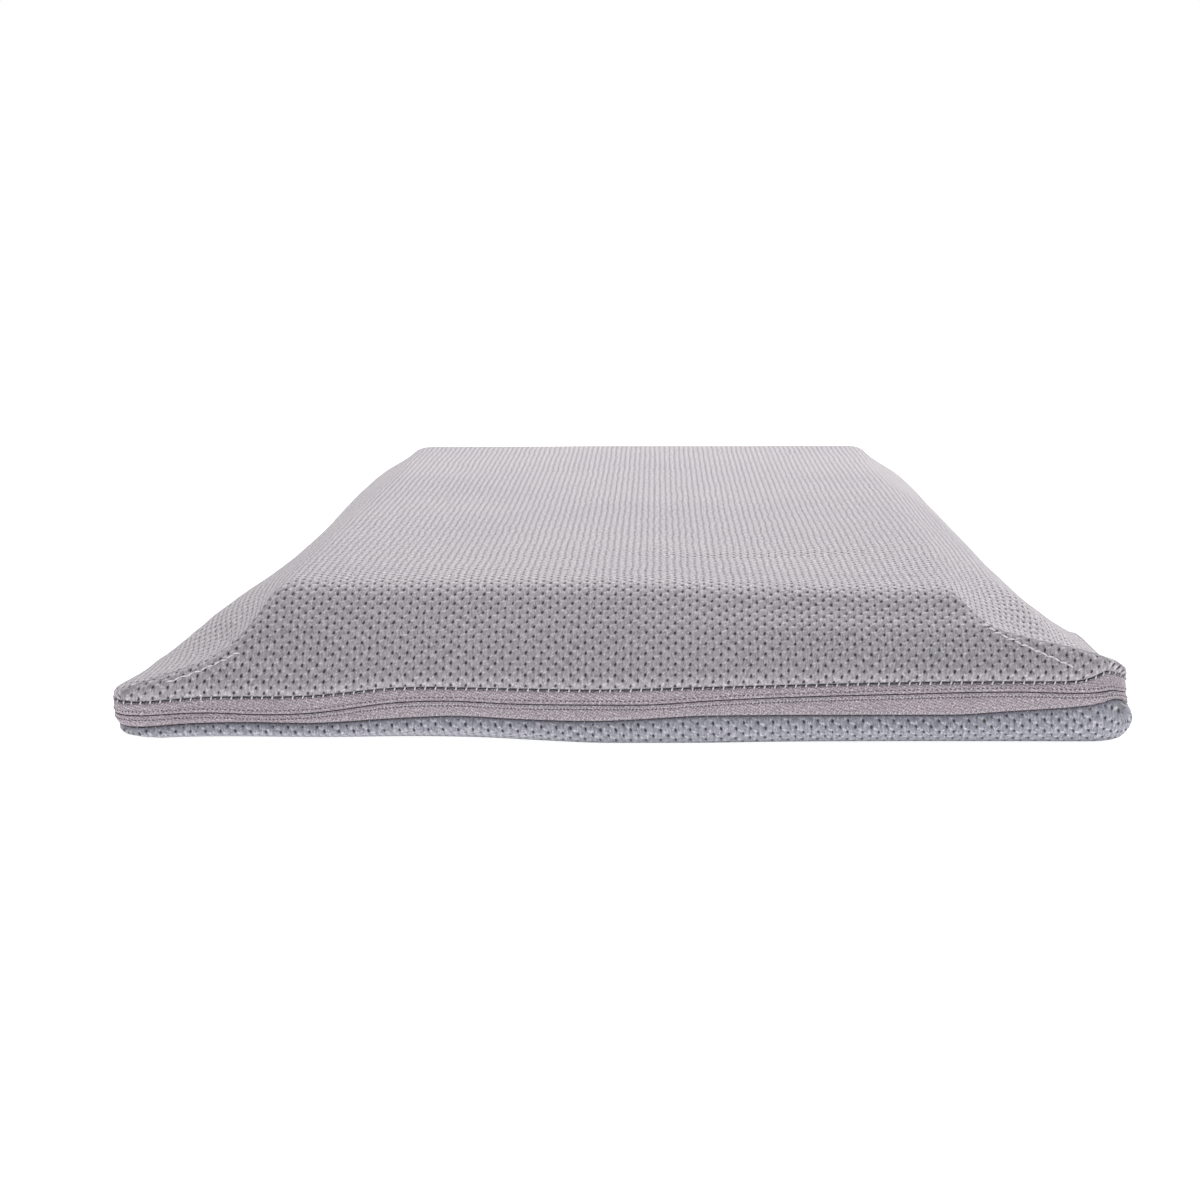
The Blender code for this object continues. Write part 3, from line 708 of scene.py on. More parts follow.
def edge_line(inset, height):
    """The pad's outline at an inset, a number or an array, and at an array of heights."""
    return np.column_stack([flare(BASE - NORMAL * (inset * np.ones(COUNT))[:, None], height), height])


def band(name, numbers, levels, node):
    """A strip along part of the outline. levels are (inset, height array) rows from top to bottom."""
    rows = [edge_line(inset, height)[numbers] for inset, height in levels]
    verts = np.concatenate(rows)
    obj = new_piece(name, verts, flipped(ring_faces(len(rows), len(numbers), closed=False)), [node])
    down = [np.zeros(len(numbers))]
    for a, b in zip(rows[:-1], rows[1:]):
        down.append(down[-1] + np.linalg.norm(b - a, axis=1))
    set_uv(obj, np.column_stack([np.tile(distance_along(BASE[numbers]), len(rows)), np.concatenate(down)]))
    solidify(obj, TAPE)
    return obj


# Half the slot between the tapes: wider on the right side's straight run, for the slider.
SLOT_HALF = (0.20 + 0.38 * smooth(0.228, 0.240, ROUTE)) * MM


def tape_rows(seam, side):
    """Rows of the upper tape, where side is 1, or the lower one, from the seam to the slot, and from top to bottom."""
    inner = MIDDLE + side * SLOT_HALF
    rows = [
        (3.3 * MM, seam - side * 0.25 * MM),
        (0.9 * MM, seam - side * 0.25 * MM),
        (0.2 * MM, seam - side * 0.5 * MM),
        (0.0, seam - side * 1.1 * MM),
        (-0.15 * MM, (seam * 2 + MIDDLE) / 3),
        (-0.1 * MM, (seam + MIDDLE * 2) / 3),
        (0.0, inner + side * 0.35 * MM),
        (0.12 * MM, inner),
    ]
    return rows if side > 0 else rows[::-1]


upper_tape = band("zip_tape_upper_fabric", ZIP_NUMBERS, tape_rows(UPPER, 1), "zip_tape_upper")
lower_tape = band("zip_tape_lower_fabric", ZIP_NUMBERS, tape_rows(LOWER, -1), "zip_tape_lower")
GUSSET_ROWS = (
    (SIDE_IN + 3.3 * MM, UPPER - 0.25 * MM),
    (SIDE_IN + 1.0 * MM, UPPER - 0.3 * MM),
    (SIDE_IN + 0.3 * MM, UPPER - 0.8 * MM),
    (SIDE_IN, (UPPER * 2 + LOWER) / 3),
    (SIDE_IN, (UPPER + LOWER * 2) / 3),
    (SIDE_IN + 0.3 * MM, LOWER + 0.8 * MM),
    (SIDE_IN + 1.0 * MM, LOWER + 0.3 * MM),
    (SIDE_IN + 3.3 * MM, LOWER + 0.25 * MM),
)
gusset = band("rear_gusset_fabric", REST_NUMBERS, GUSSET_ROWS, "rear_gusset")

# ---------------------------------------------------------------- thread


def stitches(name, places, nodes, width, arch, sides=6):
    """Short rounded threads. places are (start, end, outward) of each; arch is how far the middle stands out."""
    along = np.array([-1.0, -0.9, -0.45, 0.0, 0.45, 0.9, 1.0])
    girth = np.array([0.12, 0.6, 0.95, 1.0, 0.95, 0.6, 0.12])
    turn = np.arange(sides) * 2 * math.pi / sides
    tube = ring_faces(len(along), sides)
    tube += [tuple(range(sides))[::-1], tuple(range((len(along) - 1) * sides, len(along) * sides))]
    verts = []
    faces = []
    for start, end, outward in places:
        start, end = np.array(start, float), np.array(end, float)
        middle, half = (start + end) / 2, (end - start) / 2
        out = np.array(outward, float)
        out /= np.linalg.norm(out)
        across = np.cross(half / np.linalg.norm(half), out)
        faces += [tuple(len(verts) + corner for corner in face) for face in tube]
        for a, g in zip(along, girth):
            centre = middle + half * a + out * arch * (1 - a * a)
            for t in turn:
                verts.append(centre + width * g * (math.cos(t) * across + math.sin(t) * out))
    obj = new_piece(name, verts, faces, nodes)
    work = bmesh.new()
    work.from_mesh(obj.data)
    bmesh.ops.recalc_face_normals(work, faces=work.faces)
    work.to_mesh(obj.data)
    work.free()
    return obj


def route_points(inset, height, numbers, pitch, closed=False, shift=0.0):
    """Evenly spaced points, directions and outward normals on a line that follows the outline."""
    line = edge_line(inset, height)[numbers]
    out = np.column_stack([NORMAL, np.zeros(COUNT)])[numbers]
    if closed:
        line, out = np.vstack([line, line[:1]]), np.vstack([out, out[:1]])
    length = distance_along(line)
    count = max(2, int(round(length[-1] / pitch)))
    at = (np.arange(count) + 0.5 + shift) % count * length[-1] / count

    def read(values, at):
        return np.column_stack([np.interp(at, length, column) for column in values.T])

    tangent = read(line, at + 0.2 * MM) - read(line, at - 0.2 * MM)
    tangent /= np.linalg.norm(tangent, axis=1)[:, None]
    return read(line, at), tangent, read(out, at)


def upright_row(inset, height, numbers, pitch, size, lean=0.0, closed=False):
    """Stitches that stand across a line."""
    up = np.array([0, 0, size / 2])
    rows = zip(*route_points(inset, height, numbers, pitch, closed))
    return [(p - up - t * lean, p + up + t * lean, o) for p, t, o in rows]


def running_row(inset, height, numbers, pitch, size, closed=False, shift=0.0):
    """Stitches that lie along a line."""
    rows = zip(*route_points(inset, height, numbers, pitch, closed, shift))
    return [(p - t * size / 2, p + t * size / 2, o) for p, t, o in rows]


ALL_NUMBERS = np.arange(COUNT)
ZIP_RIGHT = ZIP_NUMBERS[(ROUTE[ZIP_NUMBERS] > -0.13) & (ROUTE[ZIP_NUMBERS] < 0.18)]
SEAM_PITCH = 4.05 * MM
upper_stitches = stitches(
    "upper_seam_stitches",
    upright_row(SIDE_IN, UPPER + 0.10 * MM, ALL_NUMBERS, SEAM_PITCH, 1.6 * MM, 0.25 * MM, closed=True),
    ["upper_seam_thread"], 0.33 * MM, 0.35 * MM,
)
# Painted shadow: dark dashes between the light stitches stand in for the shadow in the gap under the cover's folded
# edge.
upper_seam_shadow = stitches(
    "upper_seam_painted_shadow",
    running_row(SIDE_IN + 0.05 * MM, UPPER - 0.15 * MM, ALL_NUMBERS, SEAM_PITCH, 3.0 * MM, shift=0.5, closed=True),
    [], 0.36 * MM, 0.02 * MM,
)
lower_stitches = stitches(
    "lower_seam_stitches",
    upright_row(SIDE_IN + 0.1 * MM, LOWER - 0.05 * MM, ALL_NUMBERS, SEAM_PITCH, 1.0 * MM, 0.3 * MM, closed=True),
    ["lower_seam_thread"], 0.16 * MM, 0.1 * MM,
)
zip_sewing = stitches(
    "zip_sewing_lines",
    running_row(-0.15 * MM, MIDDLE - 1.9 * MM, ZIP_NUMBERS, 1.5 * MM, 0.95 * MM)
    + running_row(-0.15 * MM, MIDDLE + 1.5 * MM, ZIP_NUMBERS, 1.8 * MM, 0.9 * MM),
    [], 0.25 * MM, 0.04 * MM, sides=5,
)
zip_beads = stitches(
    "zip_light_stitches",
    upright_row(-0.13 * MM, MIDDLE - 1.15 * MM, ZIP_RIGHT, 1.3 * MM, 0.75 * MM, 0.15 * MM)
    + upright_row(-0.08 * MM, LOWER + 1.3 * MM, ZIP_RIGHT, 1.7 * MM, 1.1 * MM, 0.3 * MM),
    [], 0.23 * MM, 0.06 * MM, sides=5,
)

# The darts of the top cover: from each corner's seam up the end slope, as (x, z) in millimetres, x from the middle.
DART_RIGHT = ((176, 31.2), (168, 34.6), (158, 38.6), (149, 42.4), (142, 46.0))
DART_LEFT = ((180, 25.2), (168, 29.2), (158, 33.4), (152, 36.4))
SKIN = BVHTree.FromPolygons([tuple(v) for v in TOP_VERTS], [tuple(map(int, f)) for f in TOP_FACES])
DART_PITCH, DART_STITCH, DART_LEAN = 2.6 * MM, 2.9 * MM, 0.22
REAR_DART_HEIGHT = 0.78
PROUD = 0.12 * MM


def dart_places(side, end, line):
    """Stitches along a dart on the end slope. side is 1 on the right; end is -1 at the front and 1 at the rear."""
    line = np.array(line) * MM
    length = distance_along(line)
    count = int(length[-1] / DART_PITCH)
    step = (line[-1] - line[0]) / np.linalg.norm(line[-1] - line[0])
    places = []
    for i in range(count):
        at = (i + 0.5) * length[-1] / count
        x, z = (np.interp(at, length, line[:, c]) for c in (0, 1))
        z = z if end < 0 else z * REAR_DART_HEIGHT
        hit, normal, _, _ = SKIN.ray_cast(Vector((side * x, end * 0.4, z)), Vector((0, -end, 0)))
        if hit is None or abs(hit.y) < 0.25:
            continue
        along = Vector((side * step[0], 0, step[1]))
        along = (along - normal * along.dot(normal)).normalized()
        across = normal.cross(along)
        lean = DART_LEAN if i % 2 else -DART_LEAN
        direction = (along + across * lean).normalized() * DART_STITCH / 2
        places.append((hit - direction + normal * PROUD, hit + direction + normal * PROUD, normal))
    return places


darts = []
for side_name, side, line in (("left", -1, DART_LEFT), ("right", 1, DART_RIGHT)):
    for end_name, end in (("front", -1), ("rear", 1)):
        darts.append(
            stitches(
                f"dart_stitches_{end_name}_{side_name}",
                dart_places(side, end, line),
                [f"corner_seam_{end_name}_{side_name}"],
                (0.36 if side > 0 else 0.30) * MM,
                0.35 * MM,
            )
        )

# ---------------------------------------------------------------- coils, slider and stops

COIL_PITCH = 1.25 * MM
COIL_TURN = 6
COIL_DEPTH = 1.65 * MM
COIL_FROM_SLOT = 1.38 * MM
COIL_RADIUS = 0.46 * MM
COIL_WIRE = 0.17 * MM


def coil(name, side, node):
    """A nylon helix behind the tapes, at one side of the slot."""
    points, tangents, outs = route_points(
        COIL_DEPTH, MIDDLE + side * COIL_FROM_SLOT, ZIP_NUMBERS, COIL_PITCH / COIL_TURN
    )
    angle = np.arange(len(points)) * 2 * math.pi / COIL_TURN * side
    ups = np.cross(tangents, outs)
    line = points + COIL_RADIUS * (np.cos(angle)[:, None] * ups + np.sin(angle)[:, None] * outs)
    step = np.gradient(line, axis=0)
    step /= np.linalg.norm(step, axis=1)[:, None]
    a = np.cross(step, outs)
    a /= np.linalg.norm(a, axis=1)[:, None]
    b = np.cross(step, a)
    verts = np.stack([line + COIL_WIRE * v for v in (a, b, -a, -b)], 1).reshape(-1, 3)
    faces = ring_faces(len(line), 4)
    faces += [(0, 1, 2, 3), tuple(len(verts) - 4 + j for j in (3, 2, 1, 0))]
    return new_piece(name, verts, faces, [node])


upper_coil = coil("zip_coil_upper_helix", 1, "zip_coil_upper")
lower_coil = coil("zip_coil_lower_helix", -1, "zip_coil_lower")


def rounded_copy(name, node, width, body="pad", move=None):
    """A copy of a CAD node with its edges rounded."""
    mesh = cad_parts[node].data.copy()
    mesh.materials.clear()
    obj = placed(name, mesh)
    work = bmesh.new()
    work.from_mesh(mesh)
    bmesh.ops.remove_doubles(work, verts=work.verts, dist=1e-6)
    bmesh.ops.dissolve_limit(work, angle_limit=math.radians(1), verts=work.verts, edges=work.edges)
    if move is not None:
        for vert in work.verts:
            vert.co = Vector(move(vert.co))
    work.to_mesh(mesh)
    work.free()
    bevel = obj.modifiers.new("rounding", "BEVEL")
    bevel.width = width
    bevel.segments = 3
    bevel.limit_method = "ANGLE"
    bevel.angle_limit = math.radians(35)
    bevel.harden_normals = False
    apply_modifiers(obj)
    obj.data.shade_smooth()
    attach(obj, body)
    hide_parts(node)
    return obj


def left_shift(co):
    """On the left side, the zip's parts follow the tape's own height there."""
    k = np.argmin(np.abs(BASE[:, 0] + HALF_WIDTH) + np.abs(BASE[:, 1] - co.y))
    return co.x, co.y, co.z + MIDDLE[k] - ZIP_Z


hardware = [
    rounded_copy("zip_slider_body", "zip_slider", 0.14 * MM, "slider"),
    rounded_copy("zip_pull_tab", "zip_pull", 0.22 * MM, "pull"),
    rounded_copy("zip_top_stop_upper_clip", "zip_top_stop_upper", 0.12 * MM),
    rounded_copy("zip_top_stop_lower_clip", "zip_top_stop_lower", 0.12 * MM),
    rounded_copy("zip_bottom_stop_clip", "zip_bottom_stop", 0.12 * MM, move=left_shift),
]
tabs = [
    rounded_copy("zip_end_tab_right_cloth", "zip_end_tab_right", 0.25 * MM),
    rounded_copy("zip_end_tab_left_cloth", "zip_end_tab_left", 0.25 * MM, move=left_shift),
]

# ---------------------------------------------------------------- camera, floor and light


CAMERA_PLACE = (0.014, FRONT_Y - 0.909, 0.209)
CAMERA_PITCH, CAMERA_YAW, CAMERA_ROLL = math.radians(9.42), math.radians(-1.44), math.radians(-0.30)


def add_camera():
    data = bpy.data.cameras.new("camera")
    data.lens = 70.8
    data.sensor_width = 36
    data.clip_start = 0.05
    data.clip_end = 60
    camera = placed("camera", data)
    flat = math.cos(CAMERA_PITCH)
    forward = Vector((math.sin(CAMERA_YAW) * flat, math.cos(CAMERA_YAW) * flat, -math.sin(CAMERA_PITCH)))
    level = Vector((math.cos(CAMERA_YAW), -math.sin(CAMERA_YAW), 0))
    upright = level.cross(forward)
    right = level * math.cos(CAMERA_ROLL) + upright * math.sin(CAMERA_ROLL)
    up = upright * math.cos(CAMERA_ROLL) - level * math.sin(CAMERA_ROLL)
    turn = Matrix((right, up, -forward)).transposed()
    camera.matrix_world = Matrix.Translation(CAMERA_PLACE) @ turn.to_4x4()
    bpy.context.scene.camera = camera


add_camera()


def add_floor():
    """A large pale floor."""
    side = 6.0
    corners = [(x, y, -0.2 * MM) for x, y in ((-side, -side), (side, -side), (side, side), (-side, side))]
    floor = placed("floor", plain_mesh("floor", corners, [(0, 1, 2, 3)]))
    mat = bpy.data.materials.new("floor_paint")
    mat.use_nodes = True
    shader = mat.node_tree.nodes["Principled BSDF"]
    shader.inputs["Base Color"].default_value = (0.50, 0.50, 0.50, 1)
    shader.inputs["Roughness"].default_value = 0.9
    shader.inputs["Emission Color"].default_value = (1, 1, 1, 1)
    shader.inputs["Emission Strength"].default_value = 0.88
    floor.data.materials.append(mat)


def add_light(name, location, width, depth, power, color):
    """A rectangular light that faces the pad."""
    data = bpy.data.lights.new(name, "AREA")
    data.shape = "RECTANGLE"
    data.size = width
    data.size_y = depth
    data.energy = power
    data.color = color
    light = placed(name, data)
    light.location = location
    light.rotation_mode = "QUATERNION"
    light.rotation_quaternion = (-Vector(location)).to_track_quat("-Z", "Y")


def add_world():
    """Even, slightly cool light all round, and plain white behind the pad."""
    world = bpy.data.worlds.new("studio")
    bpy.context.scene.world = world
    world.use_nodes = True
    tree = world.node_tree
    background = tree.nodes["Background"]
    background.inputs["Color"].default_value = (0.93, 0.96, 1.0, 1)
    background.inputs["Strength"].default_value = 0.50
    white = tree.nodes.new("ShaderNodeBackground")
    white.inputs["Color"].default_value = (1, 1, 1, 1)
    path = tree.nodes.new("ShaderNodeLightPath")
    mix = tree.nodes.new("ShaderNodeMixShader")
    tree.links.new(path.outputs["Is Camera Ray"], mix.inputs[0])
    tree.links.new(background.outputs[0], mix.inputs[1])
    tree.links.new(white.outputs[0], mix.inputs[2])
    tree.links.new(mix.outputs[0], tree.nodes["World Output"].inputs["Surface"])


add_floor()
add_world()
add_light("overhead", (0.0, 1.25, 2.1), 3.0, 1.1, 57, (1.0, 0.98, 0.96))
add_light("right_rear", (1.5, 0.9, 0.8), 1.2, 0.8, 12, (1.0, 0.99, 0.97))
bpy.context.scene.view_settings.view_transform = "Standard"
bpy.context.scene.view_settings.look = "None"

# ---------------------------------------------------------------- materials


class Signal:
    """A node's output that takes part in arithmetic. Each step makes a Math node."""

    def __init__(self, nodes, socket):
        self.nodes, self.socket = nodes, socket

    def __add__(self, other):
        return self.nodes.math("ADD", self, other)

    def __sub__(self, other):
        return self.nodes.math("SUBTRACT", self, other)

    def __rsub__(self, other):
        return self.nodes.math("SUBTRACT", other, self)

    def __mul__(self, other):
        return self.nodes.math("MULTIPLY", self, other)

    def __truediv__(self, other):
        return self.nodes.math("DIVIDE", self, other)

    def __pow__(self, other):
        return self.nodes.math("POWER", self, other)


class Nodes:
    """A short way to build a node material. A value is a number, a colour or a Signal."""

    def __init__(self, name):
        self.material = bpy.data.materials.new(name)
        self.material.use_nodes = True
        self.tree = self.material.node_tree

    def set(self, socket, value):
        if isinstance(value, Signal):
            self.tree.links.new(value.socket, socket)
        else:
            socket.default_value = value

    def add(self, kind, inputs=(), **settings):
        node = self.tree.nodes.new(kind)
        for key, value in settings.items():
            setattr(node, key, value)
        for key, value in dict(inputs).items():
            self.set(node.inputs[key], value)
        return node

    def make(self, kind, inputs=(), output=0, **settings):
        return Signal(self, self.add(kind, inputs, **settings).outputs[output])

    def math(self, operation, a, b=0.0):
        return self.make("ShaderNodeMath", {0: a, 1: b}, operation=operation)

    def wave(self, value, pitch):
        return self.math("SINE", value * (2 * math.pi / pitch))

    def split(self, vector):
        return [Signal(self, socket) for socket in self.add("ShaderNodeSeparateXYZ", {"Vector": vector}).outputs]

    def uv(self):
        return self.make("ShaderNodeUVMap", uv_map="weave")

    def place(self):
        return self.make("ShaderNodeTexCoord", output="Object")

    def value(self, name):
        return self.make("ShaderNodeAttribute", output="Fac", attribute_name=name)

    def noise(self, vector, scale, detail=2.0, roughness=0.5):
        inputs = {"Vector": vector, "Scale": scale, "Detail": detail, "Roughness": roughness}
        return self.make("ShaderNodeTexNoise", inputs)

    def streaks(self, u, v, scale_u, scale_v, detail=2.0, roughness=0.5):
        """Noise with a scale of its own along u and along v."""
        vector = self.make("ShaderNodeCombineXYZ", {"X": u * scale_u, "Y": v * scale_v})
        return self.noise(vector, 1.0, detail, roughness)

    def step(self, value, low, high, out_low=0.0, out_high=1.0):
        """A smooth step from out_low at low to out_high at high."""
        inputs = {"Value": value, "From Min": low, "From Max": high, "To Min": out_low, "To Max": out_high}
        return self.make("ShaderNodeMapRange", inputs, interpolation_type="SMOOTHSTEP")

    def mix(self, factor, a, b):
        return self.make("ShaderNodeMix", {0: factor, 6: a, 7: b}, 2, data_type="RGBA")

    def finish(self, color, roughness, height, distance, strength, sheen=0.0, metallic=0.0):
        """Links the colour, roughness and bump to the shader."""
        normal = self.make("ShaderNodeBump", {"Height": height, "Distance": distance, "Strength": strength})
        shader = self.tree.nodes["Principled BSDF"]
        self.set(shader.inputs["Base Color"], color)
        self.set(shader.inputs["Roughness"], roughness)
        self.set(shader.inputs["Normal"], normal)
        shader.inputs["Sheen Weight"].default_value = sheen
        shader.inputs["Metallic"].default_value = metallic
        return self.material


def scaled(color, share):
    """A lighter or darker colour."""
    return tuple(min(1.0, c * share) for c in color[:3]) + (1,)


# The mesh's holes, in millimetres from the middle of one: they are upright ellipses that lean a little, each with
# a painted highlight on the fibres beside it.
HOLE_PITCH = 5.9 * MM
HOLE_ROW = 4.65 * MM
HOLE_LEAN = 0.24
HOLE_HALF = (0.48, 0.80)
HIGHLIGHT_PLACE = (1.35, 1.0)
HIGHLIGHT_HALF = (1.5, 0.5)
HIGHLIGHT_COS, HIGHLIGHT_SIN = 0.88, 0.47


def ellipse(x, y, half_x, half_y):
    """0 at an ellipse's middle, and 1 at its edge."""
    return (x / half_x) ** 2.0 + (y / half_y) ** 2.0


def hole_mask(n, u, v, jitter):
    """Masks of the holes, of the dents round them and of the painted highlights beside them, in two staggered sets."""
    masks, dents, painted_highlights = [], [], []
    for offset in (100.0, 100.5):
        du = (n.math("FRACT", u / HOLE_PITCH + offset) - 0.5) * (HOLE_PITCH / MM)
        dv = (n.math("FRACT", v / HOLE_ROW + offset) - 0.5) * (HOLE_ROW / MM)
        du = du - dv * HOLE_LEAN
        far = n.math("SQRT", ellipse(du, dv, *HOLE_HALF))
        side, lift = du - HIGHLIGHT_PLACE[0], dv - HIGHLIGHT_PLACE[1]
        long_way = side * HIGHLIGHT_COS + lift * HIGHLIGHT_SIN
        short_way = lift * HIGHLIGHT_COS - side * HIGHLIGHT_SIN
        masks.append(n.step(far + jitter, 1.45, 0.55))
        dents.append(n.step(far, 2.5, 0.4))
        painted_highlights.append(n.step(ellipse(long_way, short_way, *HIGHLIGHT_HALF) + jitter, 1.5, 0.2))
    return [n.math("MAXIMUM", *pair) for pair in (masks, dents, painted_highlights)]


FIBRE_LIGHT = (0.83, 0.79, 0.83, 1)
FIBRE_BRIGHT = (0.95, 0.91, 0.95, 1)
# Colour of the painted highlight on the fibres beside each hole.
PAINTED_FIBRE_HIGHLIGHT = (0.93, 0.89, 0.93, 1)
# Colour of the painted shade along the seams.
PAINTED_SEAM_SHADE = (0.30, 0.31, 0.38, 1)
# Colour of the painted contact shadow where the cloth meets the floor.
PAINTED_CONTACT_SHADOW = (0.075, 0.085, 0.105, 1)


def mesh_cloth(name, base, shade, hole_color, contact_shadow=False):
    """Spacer mesh: fine upright ribs with staggered holes."""
    n = Nodes(name)
    uv = n.uv()
    x, y, _ = n.split(uv)
    u = x + (n.noise(uv, 55.0, 1.0) - 0.5) * (1.6 * MM)
    v = y + (n.noise(uv, 38.0, 1.0) - 0.5) * (1.2 * MM)
    jitter = (n.noise(uv, 420.0, 1.0) - 0.5) * 1.1
    away = n.step(n.value("above_seam"), 1.0 * MM, 2.2 * MM)
    holes, dents, painted_highlights = (mask * away for mask in hole_mask(n, u, v, jitter))
    long_fibre = n.streaks(x, y, 1100.0, 300.0, 3.0, 0.7)
    short_fibre = n.streaks(x, y, 1300.0, 900.0, 2.0, 0.6)
    color = n.mix(n.step(n.noise(uv, 9.0, 3.0), 0.3, 0.7), base, shade)
    color = n.mix(n.step(long_fibre, 0.52, 0.34) * 0.45, color, hole_color)
    color = n.mix(n.step(long_fibre, 0.53, 0.68) * 0.60, color, FIBRE_LIGHT)
    color = n.mix(n.step(short_fibre, 0.57, 0.70) * 0.70, color, FIBRE_BRIGHT)
    # Painted highlight: lighter fibres beside each hole stand in for glints of light.
    color = n.mix(painted_highlights * n.step(short_fibre, 0.35, 0.60, 0.10, 0.62), color, PAINTED_FIBRE_HIGHLIGHT)
    # Painted shade: the cloth darkens within about 2 mm of its seam.
    color = n.mix((1.0 - away) * 0.40, color, PAINTED_SEAM_SHADE)
    color = n.mix(holes, color, hole_color)
    # Painted contact shadow at the foot of the cover.
    if contact_shadow:
        color = n.mix(n.value("contact_shadow") * 0.72, color, PAINTED_CONTACT_SHADOW)
    height = long_fibre * 0.45 + short_fibre * 0.3 - dents
    return n.finish(color, 0.88, height, 0.5 * MM, 1.0, sheen=0.15)


def twill_tape(name, base):
    """Zip tape: a fine woven twill."""
    n = Nodes(name)
    u, v, _ = n.split(n.uv())
    pitch = 1.15 * MM
    weave = (n.wave(u + v * 0.8, pitch) + n.wave(v - u * 0.35, pitch)) * 0.5
    grain = n.streaks(u, v, 950.0, 1100.0, 3.0, 0.75)
    wide = n.streaks(u, v, 60.0, 250.0)
    light, dark = scaled(base, 1.9), scaled(base, 0.33)
    color = n.mix(n.step(grain, 0.52, 0.36) * 0.75, base, dark)
    color = n.mix(n.step(grain, 0.54, 0.66) * 0.85, color, light)
    color = n.mix(n.step(weave, 0.1, -0.8) * 0.60, color, dark)
    color = n.mix(n.step(wide, 0.45, 0.7) * 0.2, color, dark)
    return n.finish(color, 0.8, weave * 0.4 + grain * 0.6, 0.3 * MM, 1.0, sheen=0.12)


def thread(name, base, dark):
    """Spun polyester: fine twisted plies."""
    n = Nodes(name)
    x, y, z = n.split(n.place())
    twist = n.wave(x + y + z, 0.45 * MM)
    fuzz = n.noise(n.place(), 2600.0)
    color = n.mix(n.step(twist, -0.6, 0.6), dark, base)
    color = n.mix(n.step(fuzz, 0.55, 0.7), color, (0.85, 0.82, 0.85, 1))
    return n.finish(color, 0.62, twist * 0.5 + fuzz, 0.06 * MM, 0.8, sheen=0.2)


def nylon(name, base):
    """Slightly glossy nylon with faint streaks."""
    n = Nodes(name)
    streak = n.noise(n.place(), 900.0, 3.0)
    color = n.mix(streak, base, scaled(base, 0.7))
    return n.finish(color, n.step(streak, 0.2, 0.8, 0.32, 0.48), streak, 0.03 * MM, 0.5)


def painted_metal(name, paint, metal):
    """Painted zinc, rubbed at its edges."""
    n = Nodes(name)
    place = n.place()
    grain = n.noise(place, 5200.0, 3.0)
    patches = n.noise(place, 700.0, 4.0)
    edge = n.step(n.make("ShaderNodeNewGeometry", output="Pointiness") + patches * 0.12, 0.60, 0.66)
    color = n.mix(edge, paint, metal)
    color = n.mix(grain * 0.18, color, scaled(paint, 0.6))
    rough = n.step(grain, 0.2, 0.8, 0.36, 0.5)
    return n.finish(color, rough, grain * 0.4 - edge * 0.6, 0.02 * MM, 0.6, metallic=0.35)


def knit(name, base):
    """Thin jersey: rows of small loops."""
    n = Nodes(name)
    u, v, _ = n.split(n.uv())
    loop = 1.1 * MM
    wave = n.wave(u, loop)
    loops = (wave + n.wave(v + wave * (0.25 * MM), loop)) * 0.5
    fuzz = n.noise(n.uv(), 900.0, 3.0)
    color = n.mix(n.step(loops, -0.7, 0.5), scaled(base, 0.72), base)
    color = n.mix(fuzz * 0.25, color, (0.95, 0.95, 0.93, 1))
    return n.finish(color, 0.9, loops + fuzz * 0.5, 0.15 * MM, 0.8, sheen=0.1)


def foam(name, base, cell):
    """Open-cell foam: pores of a given size, slightly uneven in colour."""
    n = Nodes(name)
    place = n.place()
    pores = n.make("ShaderNodeTexVoronoi", {"Vector": place, "Scale": 1.0 / cell}, "Distance")
    tone = n.noise(place, 12.0, 4.0)
    color = n.mix(n.step(pores, 0.15, 0.5), scaled(base, 0.70), base)
    color = n.mix(tone * 0.3, color, scaled(base, 0.85))
    return n.finish(color, 0.95, pores, 0.4 * cell, 0.7, sheen=0.05)


COVER = mesh_cloth("cover_mesh_cloth", (0.485, 0.445, 0.465, 1), (0.435, 0.405, 0.435, 1), (0.055, 0.045, 0.057, 1))
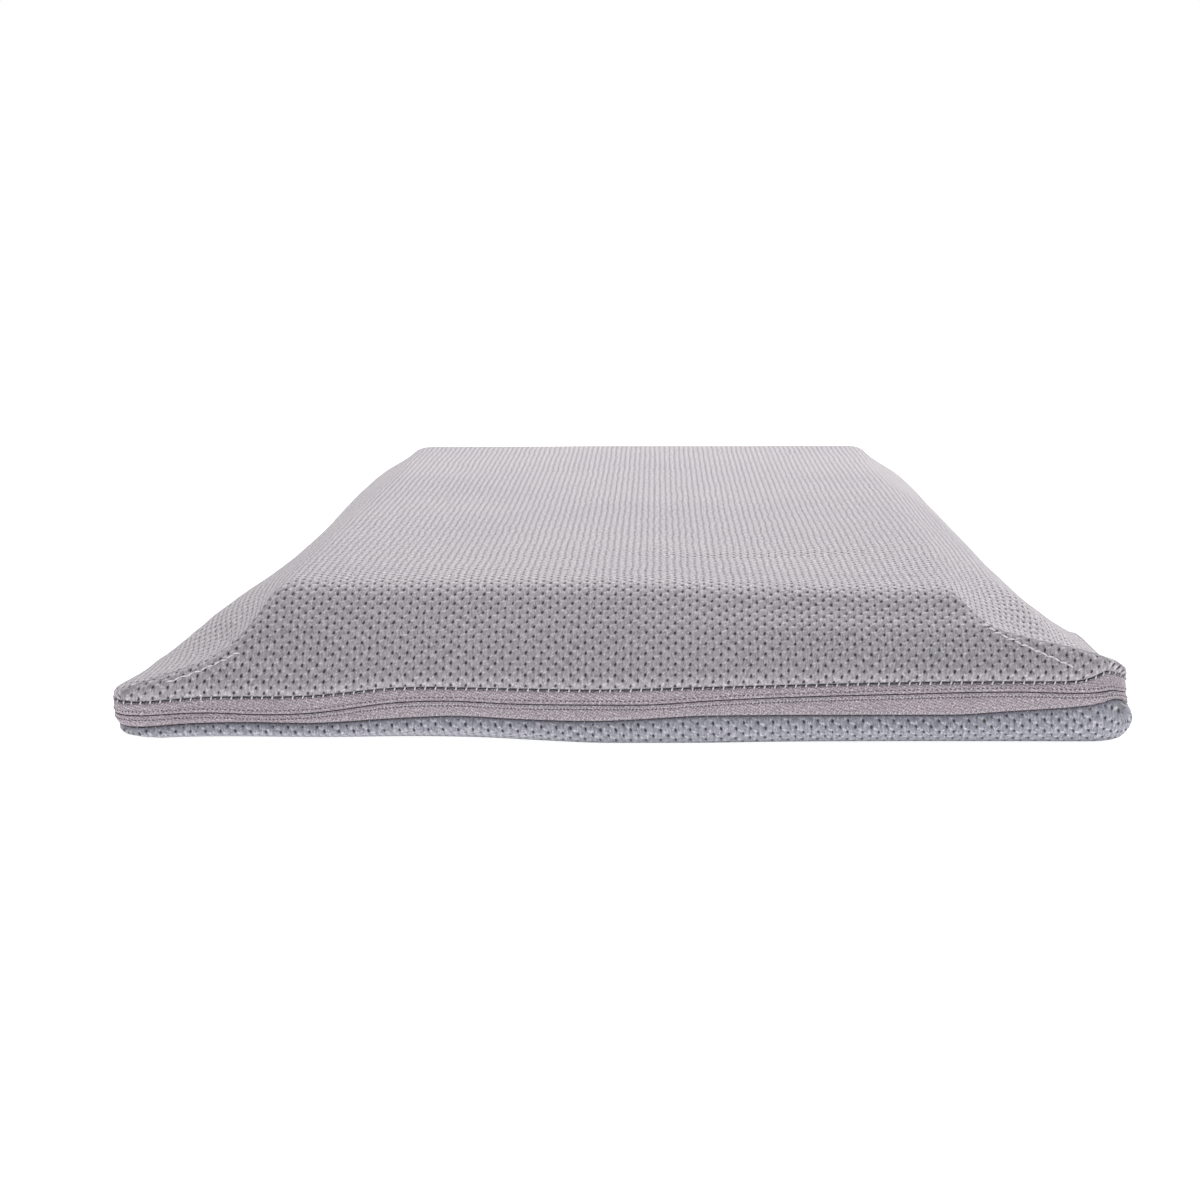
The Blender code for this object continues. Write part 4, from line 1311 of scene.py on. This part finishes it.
# The bottom cover has a darker, cooler copy of the top cover's cloth: painted shade for a band that gets less light.
COVER_SHADED = mesh_cloth(
    "cover_mesh_cloth_shaded", (0.40, 0.395, 0.45, 1), (0.35, 0.35, 0.41, 1), (0.055, 0.05, 0.065, 1), contact_shadow=True
)
TAPE_CLOTH = twill_tape("zip_tape_cloth", (0.57, 0.485, 0.532, 1))
GUSSET_CLOTH = twill_tape("gusset_cloth", (0.34, 0.31, 0.35, 1))
LINER_CLOTH = knit("liner_knit_cloth", (0.80, 0.80, 0.78, 1))
MEMORY_FOAM = foam("memory_foam_cells", (0.85, 0.80, 0.66, 1), 0.9 * MM)
SUPPORT_FOAM = foam("support_foam_cells", (0.70, 0.74, 0.78, 1), 1.6 * MM)
THREAD = thread("stitch_thread_light", (0.88, 0.85, 0.88, 1), (0.66, 0.63, 0.67, 1))
THREAD_WHITE = thread("stitch_thread_white", (0.96, 0.94, 0.96, 1), (0.86, 0.84, 0.87, 1))
# Dark thread for the zip's sewing lines, also used as painted shadow in the upper seam's gap.
DARK_THREAD_AND_SHADOW = thread("stitch_thread_shadow", (0.12, 0.10, 0.12, 1), (0.07, 0.055, 0.07, 1))
THREAD_DULL = thread("stitch_thread_mauve", (0.33, 0.28, 0.31, 1), (0.20, 0.16, 0.19, 1))
COIL_NYLON = nylon("coil_nylon", (0.16, 0.13, 0.155, 1))
PAINT = painted_metal("slider_paint", (0.34, 0.32, 0.34, 1), (0.62, 0.61, 0.60, 1))


LOOKS = (
    (COVER, [top]),
    (COVER_SHADED, [bottom]),
    (TAPE_CLOTH, [upper_tape, lower_tape]),
    (GUSSET_CLOTH, [gusset] + tabs),
    (THREAD, [upper_stitches, zip_beads]),
    (THREAD_WHITE, darts),
    (DARK_THREAD_AND_SHADOW, [upper_seam_shadow, zip_sewing]),
    (THREAD_DULL, [lower_stitches]),
    (LINER_CLOTH, [liner_top, liner_bottom]),
    (MEMORY_FOAM, [memory_foam]),
    (SUPPORT_FOAM, [support_foam]),
    (COIL_NYLON, [upper_coil, lower_coil]),
    (PAINT, hardware),
)
for material, pieces in LOOKS:
    for piece in pieces:
        piece.data.materials.clear()
        piece.data.materials.append(material)
        for polygon in piece.data.polygons:
            polygon.material_index = 0
